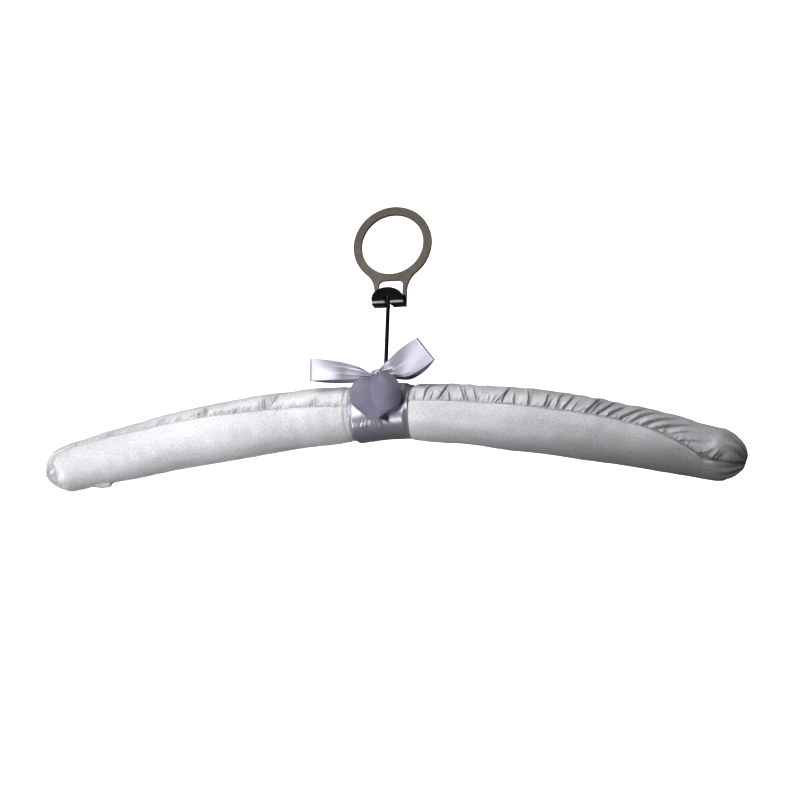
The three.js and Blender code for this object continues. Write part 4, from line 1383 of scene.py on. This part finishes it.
band = place(ribbon_wrap(), "arms", "ribbon_satin", "ribbon_wrap")
place(knot(), "arms", "ribbon_satin", "bow_knot")
left_loop = ribbon_loop("left_bow_loop", -1, *LEFT_LOOP_EDGES, 8.0, 2)
right_loop = ribbon_loop("right_bow_loop", 1, *RIGHT_LOOP_EDGES, 7.0, 5)
place(left_loop, "arms", "ribbon_satin", "bow_left_loop")
place(right_loop, "arms", "ribbon_satin", "bow_right_loop")
left_tail = ribbon_tail("left_bow_tail", *LEFT_TAIL_EDGES, 3.0, 3)
right_tail = ribbon_tail("right_bow_tail", *RIGHT_TAIL_EDGES, 3.4, 4)
place(left_tail, "arms", "ribbon_satin", "bow_left_tail")
place(right_tail, "arms", "ribbon_satin", "bow_right_tail")


# ---- Studio ----

CAMERA_PLACE = Vector((0.1727, -0.6454, -0.2817))
CAMERA_AZIMUTH = math.radians(14.32)
CAMERA_ELEVATION = math.radians(-15.47)
CAMERA_ROLL = math.radians(1.956)
CAMERA_LENS = 53.78
FLOOR_Z = -1.1
WALL_Y = 1.7
WALL_TOP_Z = 4.0
PAPER_HALF_WIDTH = 4.0
PAPER_BEND = 0.6

# Lamps on the hanger: name, place, aim, width, height, watts, and spread in degrees
LAMPS = (
    ("key", (-0.2, -0.9, 0.07), (-0.07, 0.0, -0.1), 0.32, 0.26, 0.27, 56.0),
    ("near_left", (-0.36, -0.32, -0.14), (-0.1, 0.0, -0.12), 0.24, 0.2, 0.055, 52.0),
    ("low_left", (-0.34, -0.4, -0.46), (-0.11, 0.0, -0.15), 0.3, 0.2, 0.15, 34.0),
    ("top", (-0.38, -0.45, 0.85), (-0.04, 0.0, -0.1), 0.7, 0.5, 1.3, 80.0),
)
PAPER_LAMPS_X = (-1.6, -0.5, 0.6, 1.7)
PAPER_WATTS = 27.0
WORLD_LIGHT = 0.05


def camera():
    """Below the arms and a little to the right, looking up."""
    a, e, r = CAMERA_AZIMUTH, CAMERA_ELEVATION, CAMERA_ROLL
    forward = Vector((-math.sin(a) * math.cos(e), math.cos(a) * math.cos(e), -math.sin(e)))
    level = Vector((math.cos(a), math.sin(a), 0.0))
    upright = level.cross(forward)
    right = level * math.cos(r) + upright * math.sin(r)
    up = upright * math.cos(r) - level * math.sin(r)
    data = bpy.data.cameras.new("camera")
    data.lens = CAMERA_LENS
    data.sensor_width = 36.0
    data.clip_start = 0.01
    data.clip_end = 50.0
    made = bpy.data.objects.new("camera", data)
    rotation = Matrix((right, up, -forward)).transposed().to_4x4()
    made.matrix_world = Matrix.Translation(CAMERA_PLACE) @ rotation
    bpy.context.scene.collection.objects.link(made)
    bpy.context.scene.camera = made


def softbox(name, place_at, aim, width, height, watts, spread):
    """A soft studio lamp. A grid on its front narrows the spread of its light."""
    data = bpy.data.lights.new(name, "AREA")
    data.shape = "RECTANGLE"
    data.size = width
    data.size_y = height
    data.energy = watts
    data.spread = math.radians(spread)
    lamp = bpy.data.objects.new(name, data)
    bpy.context.scene.collection.objects.link(lamp)
    lamp.location = place_at
    lamp.visible_camera = False
    lamp.rotation_euler = (Vector(aim) - Vector(place_at)).to_track_quat("-Z", "Y").to_euler()


def backdrop():
    """A pale floor that curves up into a pale wall behind the hanger."""
    bend_y = WALL_Y - PAPER_BEND
    bend_z = FLOOR_Z + PAPER_BEND
    profile = [(-PAPER_HALF_WIDTH, FLOOR_Z), (bend_y, FLOOR_Z)]
    for turn in np.linspace(0.0, math.pi / 2, 16)[1:]:
        profile.append((bend_y + PAPER_BEND * math.sin(turn), bend_z - PAPER_BEND * math.cos(turn)))
    profile.append((WALL_Y, WALL_TOP_Z))
    across = (-PAPER_HALF_WIDTH, 0.0, PAPER_HALF_WIDTH)
    points = np.array([[(x, y, z) for x in across] for y, z in profile]) / MM
    paper = sheet_piece("backdrop", points, [backdrop_paper()])
    paper.visible_diffuse = False
    paper.visible_glossy = False


def studio():
    """The camera, the paper, the lamps on the hanger and on the paper, and a faint white world."""
    camera()
    backdrop()
    for lamp in LAMPS:
        softbox(*lamp)
    for x in PAPER_LAMPS_X:
        softbox(f"paper_{x:+.1f}", (x, 0.5, 0.5), (x, WALL_Y, 0.5), 1.0, 1.8, PAPER_WATTS, 180.0)
    world = bpy.data.worlds.new("studio")
    world.use_nodes = True
    background = world.node_tree.nodes["Background"]
    background.inputs["Color"].default_value = rgb(1.0, 1.0, 1.0)
    background.inputs["Strength"].default_value = WORLD_LIGHT
    bpy.context.scene.world = world
    bpy.context.scene.view_settings.view_transform = "Standard"
    bpy.context.scene.view_settings.look = "None"


studio()
